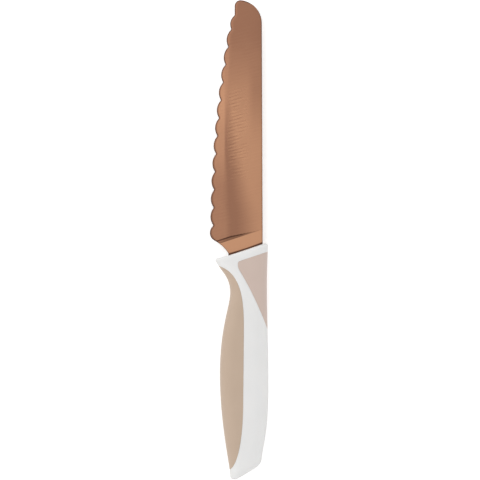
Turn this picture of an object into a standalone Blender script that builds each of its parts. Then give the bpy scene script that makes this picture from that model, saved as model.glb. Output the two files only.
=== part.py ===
"""A child's safety knife lying on its side, in metres, +Z up.

The blade points along +Y and its blunt, scalloped edge faces -X. The origin is the middle of the
knife's bounding box, on the surface that the handle lies on. Everything is drawn with y = 0 where
the handle's front face crosses x = 0 and z = 0 in the blade's middle plane, and is moved onto the
origin at the end.
"""

import math

import bmesh
import bpy
from mathutils import Matrix, Vector

# Clearance between pieces that touch
GAP = 0.0003

# Blade
BLADE_LENGTH = 0.1135
STOCK = 0.0012
SPINE_AT_HANDLE = 0.0108
SPINE_AT_TIP = 0.0104
TIP_RADIUS = 0.01045
TIP_SIDE = 0.0018
TIP_CORNER_RADIUS = 0.0026
EDGE_SWEEP_RADIUS = 0.514
EDGE_REACH = 0.01130
EDGE_WIDEST_AT = 0.0097
SCALLOP_PITCH = 0.00806
SCALLOP_HEIGHT = 0.00142
FIRST_VALLEY_AT = 0.01216
LAST_SCALLOP_PITCH = 0.0063
LAST_SCALLOP_HEIGHT = 0.0012
HEEL_BUMP_RADIUS = 0.0040
HEEL_BUMP_OPENING = 54.0
HEEL_SWEEP_RADIUS = 0.0159
HEEL_SWEEP_START = math.radians(27.5)
RICASSO_LENGTH = 0.0074
LAND_WIDTH = 0.0029
GRIND_DEPTH = 0.00018
BEVEL_DEPTH = 0.00017
BEVEL_AT_HEEL = 0.0072
BEVEL_AT_TIP = 0.0034
SHOULDER_DEPTH = 0.0040
SHOULDER_LEFT = 0.0046
TANG_LENGTH = 0.0780
TANG_WIDTH = 0.0070
TANG_CENTRE = 0.0029
TANG_HOLE_RADIUS = 0.0020
TANG_HOLES_AT = (0.0240, 0.0620)

# Handle
FRONT_ANGLE = math.radians(18.5)
FRONT_HOLLOW_RADIUS = 0.110
FRONT_HOLLOW_AT = 0.0030
FRONT_HOLLOW_FADE = 0.0060
HANDLE_LENGTH = 0.1019
HANDLE_THICKNESS = 0.0145
EDGE_ROUND = 0.0070
SECTION_FULLNESS = 2.3
FRONT_FILLET = 0.0005
BUTT_FILLET = 0.0026
GUARD_REACH = 0.0106
GUARD_CORNER = 0.0006
BACK_REACH = 0.0132
BACK_CORNER = 0.0013
CHOIL_REACH = 0.0038
CHOIL_AT = 0.0179
BELLY_REACH = 0.00844
BELLY_AT = 0.0545
PALM_REACH = 0.01336
PALM_AT = 0.0580
BUTT_ANGLE = math.radians(31.0)
BUTT_BELLY_REACH = 0.0041
BUTT_PALM_REACH = 0.0102
BUTT_CORNER = 0.0030

# Soft pads
PAD_THICKNESS = 0.0018
BELLY_PAD_START = 0.0058
BELLY_PAD_REACH = 0.0023
BELLY_PAD_REAR_REACH = 0.0020
BELLY_PAD_FULL_FROM = 0.0350
BELLY_PAD_FULL_TO = 0.0675
BELLY_PAD_END = 0.0976
THUMB_PAD_TOP = 0.0039
THUMB_PAD_LEFT = 0.0010
THUMB_PAD_END = 0.0374
POST_RADIUS = 0.00125
POST_WALL = 0.0008
BELLY_POSTS_AT = (0.0460, 0.0580, 0.0700)
THUMB_POSTS_AT = (0.0070, 0.0150)

# How far each curve of the handle's sides and of the pads keeps the direction of its ends
GUARD_PULL = (0.0020, -0.0033)
CHOIL_PULL_AHEAD = 0.0074
CHOIL_PULL_BEHIND = 0.0060
BELLY_PULL_AHEAD = 0.0212
BELLY_PULL_BEHIND = 0.0210
BUTT_BELLY_PULL = (-0.0005, 0.0060)
BACK_PULL = (-0.0012, -0.0220)
PALM_PULL = 0.0240
BUTT_PALM_PULL = (0.0009, 0.0080)
BELLY_PAD_START_PULL = (0.0130, -0.0024)
BELLY_PAD_FULL_PULL = 0.0110
BELLY_PAD_REAR_PULL = 0.0142
BELLY_PAD_END_PULL = (0.0046, 0.0020)
THUMB_PAD_CORNER = 0.0013
THUMB_PAD_SIDE_DROP = 0.0036
THUMB_PAD_SIDE_PULL = (0.0050, -0.0080)
THUMB_PAD_END_PULL = (-0.0027, 0.0088)

# Fineness of the curves
SCALLOP_STEPS = 8
HEEL_STEPS = 5
TIP_STEPS = 6
CORNER_STEPS = 4
SIDE_STEPS = 30
SECTION_STEPS = 6
PAD_EDGE_STEPS = 12


def line_front(x):
    """The height of the handle's slanted front face at x."""
    return x * math.tan(FRONT_ANGLE)


def bezier(p0, p1, p2, p3, steps):
    """Points of a cubic Bezier curve, both ends included."""
    points = []
    for i in range(steps + 1):
        t = i / steps
        a, b, c, d = (1 - t) ** 3, 3 * t * (1 - t) ** 2, 3 * t * t * (1 - t), t ** 3
        points.append(tuple(a * p + b * q + c * r + d * s for p, q, r, s in zip(p0, p1, p2, p3)))
    return points


def corner(start, tip, end, steps):
    """A round corner from start to end, drawn towards the sharp corner tip."""
    pull = 0.56
    p1 = tuple(a + pull * (b - a) for a, b in zip(start, tip))
    p2 = tuple(a + pull * (b - a) for a, b in zip(end, tip))
    return bezier(start, p1, p2, end, steps)


def arc(centre, radius, start, end, steps):
    """Points of a circular arc between two angles, both ends included."""
    angles = [start + (end - start) * i / steps for i in range(steps + 1)]
    return [(centre[0] + radius * math.cos(a), centre[1] + radius * math.sin(a)) for a in angles]


def bulge(start, end, height, steps):
    """A circular arc over a chord, bulging to the left of the way from start to end."""
    chord = Vector(end) - Vector(start)
    half = chord.length / 2
    radius = (half * half + height * height) / (2 * height)
    along = chord.normalized()
    left = Vector((-along.y, along.x))
    centre = Vector(start) + along * half - left * (radius - height)
    spread = math.asin(half / radius)
    points = []
    for i in range(steps + 1):
        a = spread * (2 * i / steps - 1)
        points.append(tuple(centre + left * radius * math.cos(a) + along * radius * math.sin(a)))
    return points


def offset(points, distance):
    """A closed outline moved outwards by a distance; the outline runs anticlockwise."""
    moved = []
    for i, here in enumerate(points):
        before = Vector(here) - Vector(points[i - 1])
        after = Vector(points[(i + 1) % len(points)]) - Vector(here)
        n0 = Vector((before.y, -before.x)).normalized()
        n1 = Vector((after.y, -after.x)).normalized()
        middle = (n0 + n1).normalized()
        moved.append(tuple(Vector(here) + middle * distance / max(middle.dot(n0), 0.5)))
    return moved


def material(name, colour, roughness, metallic):
    mat = bpy.data.materials.new(name)
    mat.use_nodes = True
    shader = mat.node_tree.nodes["Principled BSDF"]
    shader.inputs["Base Color"].default_value = (*colour, 1.0)
    shader.inputs["Roughness"].default_value = roughness
    shader.inputs["Metallic"].default_value = metallic
    mat.diffuse_color = (*colour, 1.0)
    return mat


def add_object(name, bm, mat=None):
    """Finish a bmesh as an object with its faces pointing out."""
    bmesh.ops.recalc_face_normals(bm, faces=bm.faces)
    mesh = bpy.data.meshes.new(name)
    bm.to_mesh(mesh)
    bm.free()
    ob = bpy.data.objects.new(name, mesh)
    bpy.context.collection.objects.link(ob)
    if mat is None:
        ob.hide_render = True
        ob.display_type = "WIRE"
    else:
        mesh.materials.append(mat)
    return ob


def prism(name, outline, low, high, mat=None):
    """An outline in the XY plane extruded from z = low to z = high."""
    bm = bmesh.new()
    face = bm.faces.new([bm.verts.new((x, y, low)) for x, y in outline])
    walls = bmesh.ops.extrude_face_region(bm, geom=[face])
    top = [v for v in walls["geom"] if isinstance(v, bmesh.types.BMVert)]
    bmesh.ops.translate(bm, verts=top, vec=(0, 0, high - low))
    return add_object(name, bm, mat)


def rods(name, places, radius, half_length):
    """Round bars along Z at each place, as one cutter."""
    bm = bmesh.new()
    for x, y in places:
        bmesh.ops.create_cone(
            bm, cap_ends=True, segments=20, radius1=radius, radius2=radius,
            depth=2 * half_length, matrix=Matrix.Translation((x, y, 0)),
        )
    return add_object(name, bm)


def loft(name, rings, mat=None):
    """A closed skin over rings of points, with flat ends."""
    bm = bmesh.new()
    rows = [[bm.verts.new(p) for p in ring] for ring in rings]
    count = len(rows[0])
    for row, following in zip(rows, rows[1:]):
        for i in range(count):
            j = (i + 1) % count
            bm.faces.new((row[i], row[j], following[j], following[i]))
    bm.faces.new(rows[0])
    bm.faces.new(rows[-1])
    bmesh.ops.triangulate(bm, faces=bm.faces)
    return add_object(name, bm, mat)


def boolean(ob, operation, tool):
    modifier = ob.modifiers.new(operation.title() + " " + tool.name, "BOOLEAN")
    modifier.operation = operation
    modifier.object = tool


def smooth(ob, angle):
    ob.data.shade_smooth()
    ob.data.set_sharp_from_angle(angle=math.radians(angle))


# The blade


def edge_point(y):
    """The line through the bottoms of the scallops, a wide sweep that is widest near the heel."""
    rise = EDGE_SWEEP_RADIUS - math.sqrt(EDGE_SWEEP_RADIUS ** 2 - (y - EDGE_WIDEST_AT) ** 2)
    return (-EDGE_REACH + rise, y)


def valleys():
    """The bottoms of the scallops, one pitch apart along the edge, from the heel to the tip."""
    points = [edge_point(FIRST_VALLEY_AT)]
    turn = math.asin((FIRST_VALLEY_AT - EDGE_WIDEST_AT) / EDGE_SWEEP_RADIUS)
    step = SCALLOP_PITCH / EDGE_SWEEP_RADIUS
    last = BLADE_LENGTH - TIP_RADIUS
    while True:
        turn += step
        y = EDGE_WIDEST_AT + EDGE_SWEEP_RADIUS * math.sin(turn)
        if y > last:
            break
        points.append(edge_point(y))
    return points


def heel_outline():
    """From the left side of the buried shoulder along the heel to the first valley."""
    valley = Vector(edge_point(FIRST_VALLEY_AT))
    opening = math.radians(HEEL_BUMP_OPENING)
    bump = valley + HEEL_BUMP_RADIUS * Vector((math.cos(opening), -math.sin(opening)))
    # the bump and the hollow sweep touch where both run at the sweep's starting slope
    out = Vector((-math.sin(HEEL_SWEEP_START), -math.cos(HEEL_SWEEP_START)))
    sweep = bump + out * (HEEL_BUMP_RADIUS + HEEL_SWEEP_RADIUS)
    touch = math.atan2(-out.y, -out.x)
    shoulder = math.acos((-SHOULDER_LEFT - sweep.x) / HEEL_SWEEP_RADIUS)
    points = arc(sweep, HEEL_SWEEP_RADIUS, shoulder, touch, HEEL_STEPS)
    points += arc(bump, HEEL_BUMP_RADIUS, touch + math.pi, math.pi - opening, SCALLOP_STEPS)[1:]
    return points


def scallops():
    """The blunt scalloped edge from the first valley to the left side of the tip."""
    marks = valleys()
    points = []
    for low, high in zip(marks, marks[1:]):
        points += bulge(low, high, SCALLOP_HEIGHT, SCALLOP_STEPS)[1:]
    tip_valley = (-TIP_SIDE, marks[-1][1] + LAST_SCALLOP_PITCH)
    points += bulge(marks[-1], tip_valley, LAST_SCALLOP_HEIGHT, SCALLOP_STEPS)[1:]
    return points


def buried_outline(grow):
    """The shoulder and the tang inside the handle, from right to left, grown on every side."""
    shoulder = SHOULDER_DEPTH + grow
    right = SPINE_AT_HANDLE + grow
    left = -SHOULDER_LEFT - grow
    tang_right = TANG_CENTRE + TANG_WIDTH / 2 + grow
    tang_left = TANG_CENTRE - TANG_WIDTH / 2 - grow
    end = -TANG_LENGTH - grow
    nose = TANG_WIDTH / 2 + grow
    points = [
        (right, line_front(right) - shoulder),
        (tang_right, line_front(tang_right) - shoulder),
    ]
    points += arc((TANG_CENTRE, end + nose), nose, 0.0, -math.pi, 8)
    points += [
        (tang_left, line_front(tang_left) - shoulder),
        (left, line_front(left) - shoulder),
    ]
    return points


def blade_outline():
    """The blade's whole outline, clockwise from the heel over the tip and back by the tang."""
    tip_centre = (SPINE_AT_TIP - TIP_RADIUS, BLADE_LENGTH - TIP_RADIUS)
    # the small corner touches the blade's left side and, from inside, the big round of the tip
    inner = TIP_RADIUS - TIP_CORNER_RADIUS
    corner_x = -TIP_SIDE + TIP_CORNER_RADIUS
    lean = math.acos((corner_x - tip_centre[0]) / inner)
    corner_centre = (corner_x, tip_centre[1] + inner * math.sin(lean))
    points = heel_outline() + scallops()
    points += arc(corner_centre, TIP_CORNER_RADIUS, math.pi, lean, TIP_STEPS)
    points += arc(tip_centre, TIP_RADIUS, lean, 0.0, 2 * TIP_STEPS)[1:]
    return points + buried_outline(0.0)


def plane(a, b, c):
    """The height of the plane through three points, as a function of x and y."""
    a, b, c = Vector(a), Vector(b), Vector(c)
    normal = (b - a).cross(c - a)

    def height(x, y):
        return a.z - (normal.x * (x - a.x) + normal.y * (y - a.y)) / normal.z

    return height


def grind_cutter(name, side):
    """What the grinder takes off one face, on the upper side (1) or the under side (-1).

    The flat grind falls from the land along the spine to the bevel line, and the edge bevel
    falls faster from there to the edge. Both stop at the plunge line, in front of the ricasso.
    """
    half = STOCK / 2
    plunge = RICASSO_LENGTH / math.cos(FRONT_ANGLE)
    beyond = BLADE_LENGTH + TIP_RADIUS
    land = SPINE_AT_TIP - LAND_WIDTH
    outside = -EDGE_REACH - HEEL_BUMP_RADIUS
    grind = plane(
        (land, 0, half), (land, beyond, half), (-BEVEL_AT_HEEL, 0, half - GRIND_DEPTH)
    )
    heel = (-BEVEL_AT_HEEL, line_front(-BEVEL_AT_HEEL) + plunge)
    tip = (-BEVEL_AT_TIP, BLADE_LENGTH - TIP_RADIUS)
    bevel = plane(
        (*heel, grind(*heel)), (*tip, grind(*tip)),
        (-EDGE_REACH, EDGE_WIDEST_AT, half - GRIND_DEPTH - BEVEL_DEPTH),
    )
    lean = (tip[0] - heel[0]) / (tip[1] - heel[1])
    far = (tip[0] + lean * (beyond - tip[1]), beyond)
    corners = [
        ((land, line_front(land) + plunge), grind),
        ((land, beyond), grind),
        (far, grind),
        ((outside, beyond), bevel),
        ((outside, line_front(outside) + plunge), bevel),
        (heel, grind),
    ]
    bm = bmesh.new()
    low = [bm.verts.new((*place, side * height(*place))) for place, height in corners]
    top = [bm.verts.new((*place, side * STOCK * 2)) for place, height in corners]
    bm.faces.new((low[0], low[1], low[2], low[5]))
    bm.faces.new((low[5], low[2], low[3], low[4]))
    bm.faces.new(top)
    for i in range(len(corners)):
        j = (i + 1) % len(corners)
        bm.faces.new((low[i], low[j], top[j], top[i]))
    return add_object(name, bm)


def make_blade(mat):
    blade = prism("blade", blade_outline(), -STOCK / 2, STOCK / 2, mat)
    boolean(blade, "DIFFERENCE", grind_cutter("grind_top", 1))
    boolean(blade, "DIFFERENCE", grind_cutter("grind_under", -1))
    holes = [(TANG_CENTRE, -at) for at in TANG_HOLES_AT]
    boolean(blade, "DIFFERENCE", rods("tang_holes", holes, TANG_HOLE_RADIUS, STOCK))
    smooth(blade, 30)
    return blade


# The handle


def butt_line(x):
    """The handle's oblique rear face at x."""
    low_x = -BUTT_BELLY_REACH + BUTT_CORNER * 0.85
    return -HANDLE_LENGTH + (x - low_x) * math.tan(BUTT_ANGLE)


def side_stations():
    """Pairs of a belly-side and a palm-side point with the half thickness, front to rear."""
    half = HANDLE_THICKNESS / 2
    guard = (-GUARD_REACH, line_front(-GUARD_REACH))
    guard_end = (-GUARD_REACH + 0.25 * GUARD_CORNER, guard[1] - 1.4 * GUARD_CORNER)
    guard_start = (-GUARD_REACH + GUARD_CORNER, line_front(-GUARD_REACH + GUARD_CORNER))
    back_tip = (BACK_REACH, line_front(BACK_REACH) - 0.4 * BACK_CORNER)
    back_start = (BACK_REACH - BACK_CORNER, line_front(BACK_REACH - BACK_CORNER))
    back_end = (BACK_REACH, back_tip[1] - BACK_CORNER)
    left = corner(guard_start, guard, guard_end, CORNER_STEPS)
    right = corner(back_start, back_tip, back_end, CORNER_STEPS)

    choil = (-CHOIL_REACH, -CHOIL_AT)
    belly = (-BELLY_REACH, -BELLY_AT)
    palm = (PALM_REACH, -PALM_AT)
    butt_low = (-BUTT_BELLY_REACH, butt_line(-BUTT_BELLY_REACH))
    butt_high = (BUTT_PALM_REACH, butt_line(BUTT_PALM_REACH))
    tail_left = (-BUTT_BELLY_REACH + 0.0001, butt_low[1] + 1.6 * BUTT_CORNER)
    tail_right = (BUTT_PALM_REACH + 0.0002, butt_high[1] + 0.8 * BUTT_CORNER)

    def through(start, pull_out, middle, pull_in, steps):
        """A curve between two points, leaving and arriving at given pulls."""
        p1 = tuple(a + b for a, b in zip(start, pull_out))
        p2 = tuple(a + b for a, b in zip(middle, pull_in))
        return bezier(start, p1, p2, middle, steps)[1:]

    dense = 60
    left_run = through(guard_end, GUARD_PULL, choil, (0.0, CHOIL_PULL_AHEAD), dense)
    left_run += through(choil, (0.0, -CHOIL_PULL_BEHIND), belly, (0.0, BELLY_PULL_AHEAD), dense)
    left_run += through(belly, (0.0, -BELLY_PULL_BEHIND), tail_left, BUTT_BELLY_PULL, dense)
    right_run = through(back_end, BACK_PULL, palm, (0.0, PALM_PULL), dense)
    right_run += through(palm, (0.0, -PALM_PULL), tail_right, BUTT_PALM_PULL, dense)
    left += evenly([guard_end] + left_run, SIDE_STEPS)[1:]
    right += evenly([back_end] + right_run, SIDE_STEPS)[1:]

    butt_left = butt_low[0] + 0.85 * BUTT_CORNER
    butt_right = butt_high[0] - 0.5 * BUTT_CORNER
    left += corner(tail_left, butt_low, (butt_left, butt_line(butt_left)), CORNER_STEPS)[1:]
    right += corner(tail_right, butt_high, (butt_right, butt_line(butt_right)), CORNER_STEPS)[1:]

    heights = []
    for i in range(CORNER_STEPS + 1):
        heights.append(half - FRONT_FILLET * (1 - math.sin(math.pi / 2 * i / CORNER_STEPS)))
    heights += [half] * (SIDE_STEPS - 1)
    for i in range(CORNER_STEPS + 1):
        heights.append(half - BUTT_FILLET * (1 - math.cos(math.pi / 2 * i / CORNER_STEPS)))
    return list(zip(left, right, heights))


def evenly(points, steps):
    """The same polyline with its points spread evenly along its length."""
    lengths = [0.0]
    for a, b in zip(points, points[1:]):
        lengths.append(lengths[-1] + math.dist(a, b))
    spread = []
    k = 0
    for i in range(steps + 1):
        want = lengths[-1] * i / steps
        while k < len(points) - 2 and lengths[k + 1] < want:
            k += 1
        t = (want - lengths[k]) / (lengths[k + 1] - lengths[k])
        spread.append(tuple(a + t * (b - a) for a, b in zip(points[k], points[k + 1])))
    return spread


def hollowed(x, y):
    """The height of a point of the handle once its front face is hollow.

    The face is drawn flat and bent into a wide hollow, which fades out a little behind it.
    """
    share = max(1 - (line_front(x) - y) / FRONT_HOLLOW_FADE, 0.0)
    return y + share * (x - FRONT_HOLLOW_AT) ** 2 / (2 * FRONT_HOLLOW_RADIUS)


def section(left, right, half, edge_round):
    """One ring round the handle: flat in its middle, round towards both sides, and bent with
    the hollow front face where it is near."""
    left = Vector(left)
    right = Vector(right)
    width = (right - left).length
    across = (right - left) / width
    reach = min(edge_round, 0.46 * width)
    power = 2 / SECTION_FULLNESS
    quarter = []
    for i in range(SECTION_STEPS + 1):
        a = math.pi / 2 * i / SECTION_STEPS
        quarter.append((reach * (1 - max(math.cos(a), 0.0) ** power), half * math.sin(a) ** power))
    top = quarter + [(width - s, z) for s, z in reversed(quarter)]
    ring = top + [(s, -z) for s, z in reversed(top[1:-1])]
    flat = [(*(left + across * s), z) for s, z in ring]
    return [(x, hollowed(x, y), z) for x, y, z in flat]


def handle_form(name, inset, mat=None):
    """The handle's outer form, or the same form a little inside it and short of both ends."""
    stations = side_stations()
    if inset > 0:
        stations = stations[CORNER_STEPS:-CORNER_STEPS]
    rings = []
    for i, (left, right, half) in enumerate(stations):
        across = (Vector(right) - Vector(left)).normalized()
        left = Vector(left) + across * inset
        right = Vector(right) - across * inset
        if inset > 0 and i == 0:
            slip = Vector((0, PAD_THICKNESS - inset))
            left, right = left + slip, right + slip
        if inset > 0 and i == len(stations) - 1:
            slip = Vector((0, inset - PAD_THICKNESS))
            left, right = left + slip, right + slip
        rings.append(section(left, right, half - inset, EDGE_ROUND - inset))
    return loft(name, rings, mat)


def belly_pad_outline():
    """The belly pad in plan, anticlockwise, reaching well past the handle's side."""
    outside = -BELLY_REACH - GUARD_REACH
    start = (-GUARD_REACH, -BELLY_PAD_START + 0.0002)
    full = (BELLY_PAD_REACH, -BELLY_PAD_FULL_FROM)
    rear = (BELLY_PAD_REAR_REACH, -BELLY_PAD_FULL_TO)
    end = (-BUTT_BELLY_REACH - 0.0006, -BELLY_PAD_END)
    leaving = (start[0] + BELLY_PAD_START_PULL[0], start[1] + BELLY_PAD_START_PULL[1])
    arriving = (full[0], full[1] + BELLY_PAD_FULL_PULL)
    front_curve = bezier(start, leaving, arriving, full, PAD_EDGE_STEPS)
    leaving = (rear[0], rear[1] - BELLY_PAD_REAR_PULL)
    arriving = (end[0] + BELLY_PAD_END_PULL[0], end[1] + BELLY_PAD_END_PULL[1])
    rear_curve = bezier(rear, leaving, arriving, end, PAD_EDGE_STEPS)
    points = front_curve + rear_curve + [(outside, end[1] - 0.0012), (outside, start[1] + 0.0012)]
    return list(reversed(points))


def thumb_pad_outline():
    """The thumb pad in plan, anticlockwise: a triangle with its long side on the palm side."""
    outside = PALM_REACH + BACK_REACH
    top = line_front(0.0) - THUMB_PAD_TOP
    tip = (BACK_REACH + 0.0008, -THUMB_PAD_END)
    side_start = (-THUMB_PAD_LEFT + 0.9 * THUMB_PAD_CORNER, top - THUMB_PAD_SIDE_DROP)
    top_x = -THUMB_PAD_LEFT + THUMB_PAD_CORNER
    top_start = (top_x, line_front(top_x) - THUMB_PAD_TOP)
    corner_tip = (-THUMB_PAD_LEFT - 0.0002, top - 0.0006)
    leaving = (side_start[0] + THUMB_PAD_SIDE_PULL[0], side_start[1] + THUMB_PAD_SIDE_PULL[1])
    arriving = (tip[0] + THUMB_PAD_END_PULL[0], tip[1] + THUMB_PAD_END_PULL[1])
    side = bezier(side_start, leaving, arriving, tip, PAD_EDGE_STEPS)
    round_corner = corner(top_start, corner_tip, side_start, CORNER_STEPS)
    points = [(outside, line_front(outside) - THUMB_PAD_TOP)] + round_corner + side[1:]
    return points + [(outside, tip[1] - 0.0030)]


def post_places():
    """The posts that join a pad's two flanks through the core, on either side of the tang."""
    beside = TANG_WIDTH / 2 + GAP + POST_WALL + GAP + POST_RADIUS
    places = [(TANG_CENTRE - beside, -at) for at in BELLY_POSTS_AT]
    return places + [(TANG_CENTRE + beside, -at) for at in THUMB_POSTS_AT]


def make_pads(mat):
    """Both soft pads: the handle's form within each outline, hollowed where the core passes."""
    reach = HANDLE_THICKNESS
    hollow = handle_form("pad_hollow", PAD_THICKNESS - GAP)
    boolean(hollow, "DIFFERENCE", rods("posts", post_places(), POST_RADIUS, reach))
    pads = []
    outlines = (("belly_grip", belly_pad_outline()), ("thumb_pad", thumb_pad_outline()))
    for name, outline in outlines:
        pad = handle_form(name, 0.0, mat)
        boolean(pad, "INTERSECT", prism(name + "_shape", outline, -reach, reach))
        boolean(pad, "DIFFERENCE", hollow)
        smooth(pad, 40)
        pads.append(pad)
    return pads


def make_core(mat):
    """The rigid plastic: the form less both pads' beds, moulded round the tang."""
    reach = HANDLE_THICKNESS
    core = handle_form("handle_core", 0.0, mat)
    beds = (("belly_bed", belly_pad_outline()), ("thumb_bed", thumb_pad_outline()))
    for name, outline in beds:
        boolean(core, "DIFFERENCE", prism(name, offset(outline, GAP), -reach, reach))
    boolean(core, "UNION", handle_form("core_floor", PAD_THICKNESS))
    slot_half = STOCK / 2 + GAP
    mouth_left = -SHOULDER_LEFT - GAP
    mouth_right = SPINE_AT_HANDLE + GAP
    mouth = [
        (mouth_left, line_front(mouth_left) + SHOULDER_DEPTH),
        (mouth_right, line_front(mouth_right) + SHOULDER_DEPTH),
    ]
    slot = prism("tang_slot", mouth + buried_outline(GAP), -slot_half, slot_half)
    plugs = [(TANG_CENTRE, -at) for at in TANG_HOLES_AT]
    boolean(slot, "DIFFERENCE", rods("tang_plugs", plugs, TANG_HOLE_RADIUS - GAP, reach))
    boolean(core, "DIFFERENCE", slot)
    boolean(core, "DIFFERENCE", rods("post_holes", post_places(), POST_RADIUS + GAP, reach))
    smooth(core, 40)
    return core


def place_on_origin(pieces):
    """Move the drawing so that the bounding box's bottom centre is the origin."""
    bpy.context.view_layer.update()
    graph = bpy.context.evaluated_depsgraph_get()
    points = []
    for ob in pieces:
        mesh = ob.evaluated_get(graph).to_mesh()
        points += [v.co.copy() for v in mesh.vertices]
    low = [min(p[i] for p in points) for i in range(3)]
    high = [max(p[i] for p in points) for i in range(3)]
    shift = Vector((-(low[0] + high[0]) / 2, -(low[1] + high[1]) / 2, -low[2]))
    for ob in bpy.data.objects:
        ob.location += shift


def main():
    for ob in list(bpy.data.objects):
        bpy.data.objects.remove(ob, do_unlink=True)
    steel = material("rose_gold_steel", (0.50, 0.27, 0.16), 0.34, 1.0)
    plastic = material("white_plastic", (0.78, 0.77, 0.75), 0.38, 0.0)
    rubber = material("taupe_soft_plastic", (0.52, 0.38, 0.28), 0.72, 0.0)
    pieces = [make_blade(steel), make_core(plastic)] + make_pads(rubber)
    place_on_origin(pieces)


main()
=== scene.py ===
"""Looks of the child's safety knife: a rose gold coated steel blade, a white polypropylene
handle and two soft grips moulded onto it, on a white table under soft studio light.

The handle and the blade are drawn as in the part's source, in metres, with y = 0 where the
handle's slanted front face crosses x = 0 and z = 0 in the blade's middle plane. SHIFT moves
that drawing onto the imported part.
"""

import math
from functools import partial

import bmesh
import bpy
import numpy as np
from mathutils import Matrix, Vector
from mathutils.geometry import delaunay_2d_cdt


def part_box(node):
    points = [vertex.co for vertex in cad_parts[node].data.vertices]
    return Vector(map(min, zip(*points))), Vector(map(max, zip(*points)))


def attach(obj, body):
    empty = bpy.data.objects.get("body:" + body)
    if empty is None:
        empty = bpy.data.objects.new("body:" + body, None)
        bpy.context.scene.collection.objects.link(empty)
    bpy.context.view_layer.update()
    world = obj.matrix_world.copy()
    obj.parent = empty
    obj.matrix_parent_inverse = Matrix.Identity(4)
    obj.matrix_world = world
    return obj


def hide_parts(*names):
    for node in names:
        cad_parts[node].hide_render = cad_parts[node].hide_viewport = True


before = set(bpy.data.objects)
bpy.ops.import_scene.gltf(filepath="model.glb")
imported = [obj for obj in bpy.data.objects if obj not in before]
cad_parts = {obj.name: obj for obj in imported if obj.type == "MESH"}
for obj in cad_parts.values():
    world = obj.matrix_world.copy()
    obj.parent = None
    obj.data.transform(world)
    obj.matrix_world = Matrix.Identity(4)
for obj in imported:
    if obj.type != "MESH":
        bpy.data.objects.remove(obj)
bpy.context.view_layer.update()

# Blade, as in the part
BLADE_LENGTH = 0.1135
STOCK = 0.0012
SPINE_AT_HANDLE = 0.0108
SPINE_AT_TIP = 0.0104
TIP_RADIUS = 0.01045
TIP_SIDE = 0.0018
TIP_CORNER_RADIUS = 0.0026
EDGE_SWEEP_RADIUS = 0.514
EDGE_REACH = 0.01130
EDGE_WIDEST_AT = 0.0097
SCALLOP_PITCH = 0.00806
SCALLOP_HEIGHT = 0.00142
FIRST_VALLEY_AT = 0.01216
LAST_SCALLOP_PITCH = 0.0063
LAST_SCALLOP_HEIGHT = 0.0012
HEEL_BUMP_RADIUS = 0.0040
HEEL_BUMP_OPENING = math.radians(54.0)
HEEL_SWEEP_RADIUS = 0.0159
HEEL_SWEEP_START = math.radians(27.5)
RICASSO_LENGTH = 0.0074
LAND_WIDTH = 0.0029
GRIND_DEPTH = 0.00018
BEVEL_DEPTH = 0.00017
BEVEL_AT_HEEL = 0.0072
BEVEL_AT_TIP = 0.0034
SHOULDER_DEPTH = 0.0040
SHOULDER_LEFT = 0.0046
TANG_LENGTH = 0.0780
TANG_WIDTH = 0.0070
TANG_CENTRE = 0.0029

# Handle, as in the part
FRONT_ANGLE = math.radians(18.5)
FRONT_HOLLOW_RADIUS = 0.110
FRONT_HOLLOW_AT = 0.0030
FRONT_HOLLOW_FADE = 0.0060
HANDLE_LENGTH = 0.1019
HANDLE_THICKNESS = 0.0145
SIDE_ROUND = 0.0070
SECTION_FULLNESS = 2.3
FRONT_FILLET = 0.0005
BUTT_FILLET = 0.0026
GUARD_REACH = 0.0106
GUARD_CORNER = 0.0006
BACK_REACH = 0.0132
BACK_CORNER = 0.0013
CHOIL_REACH = 0.0038
CHOIL_AT = 0.0179
BELLY_REACH = 0.00844
BELLY_AT = 0.0545
PALM_REACH = 0.01336
PALM_AT = 0.0580
BUTT_ANGLE = math.radians(31.0)
BUTT_BELLY_REACH = 0.0041
BUTT_PALM_REACH = 0.0102
BUTT_CORNER = 0.0030
PAD_THICKNESS = 0.0018
BELLY_PAD_START = 0.0058
BELLY_PAD_REACH = 0.0023
BELLY_PAD_REAR_REACH = 0.0020
BELLY_PAD_FULL_FROM = 0.0350
BELLY_PAD_FULL_TO = 0.0675
BELLY_PAD_END = 0.0976
THUMB_PAD_TOP = 0.0039
THUMB_PAD_LEFT = 0.0010
THUMB_PAD_END = 0.0374

# Where the handle's corners end, in along the face and down or up the side, as shares of each
# corner, and where the grips' parting lines start and end past the sides, as in the part
GUARD_CORNER_ENDS = (0.25, 1.4)
BACK_TIP_DROP = 0.4
BUTT_LEFT_ENDS = (0.85, 1.6)
BUTT_RIGHT_ENDS = (0.5, 0.8)
TAIL_LEFT_IN = 0.0001
TAIL_RIGHT_OUT = 0.0002
BELLY_PAD_START_RISE = 0.0002
BELLY_PAD_END_OUT = 0.0006
THUMB_PAD_END_OUT = 0.0008
THUMB_PAD_CORNER_IN = 0.9
THUMB_PAD_CORNER_TIP = (0.0002, 0.0006)

# Curve pulls, as in the part
GUARD_PULL = (0.0020, -0.0033)
CHOIL_PULL_AHEAD = 0.0074
CHOIL_PULL_BEHIND = 0.0060
BELLY_PULL_AHEAD = 0.0212
BELLY_PULL_BEHIND = 0.0210
BUTT_BELLY_PULL = (-0.0005, 0.0060)
BACK_PULL = (-0.0012, -0.0220)
PALM_PULL = 0.0240
BUTT_PALM_PULL = (0.0009, 0.0080)
BELLY_PAD_START_PULL = (0.0130, -0.0024)
BELLY_PAD_FULL_PULL = 0.0110
BELLY_PAD_REAR_PULL = 0.0142
BELLY_PAD_END_PULL = (0.0046, 0.0020)
THUMB_PAD_CORNER = 0.0013
THUMB_PAD_SIDE_DROP = 0.0036
THUMB_PAD_SIDE_PULL = (0.0050, -0.0080)
THUMB_PAD_END_PULL = (-0.0027, 0.0088)

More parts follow.
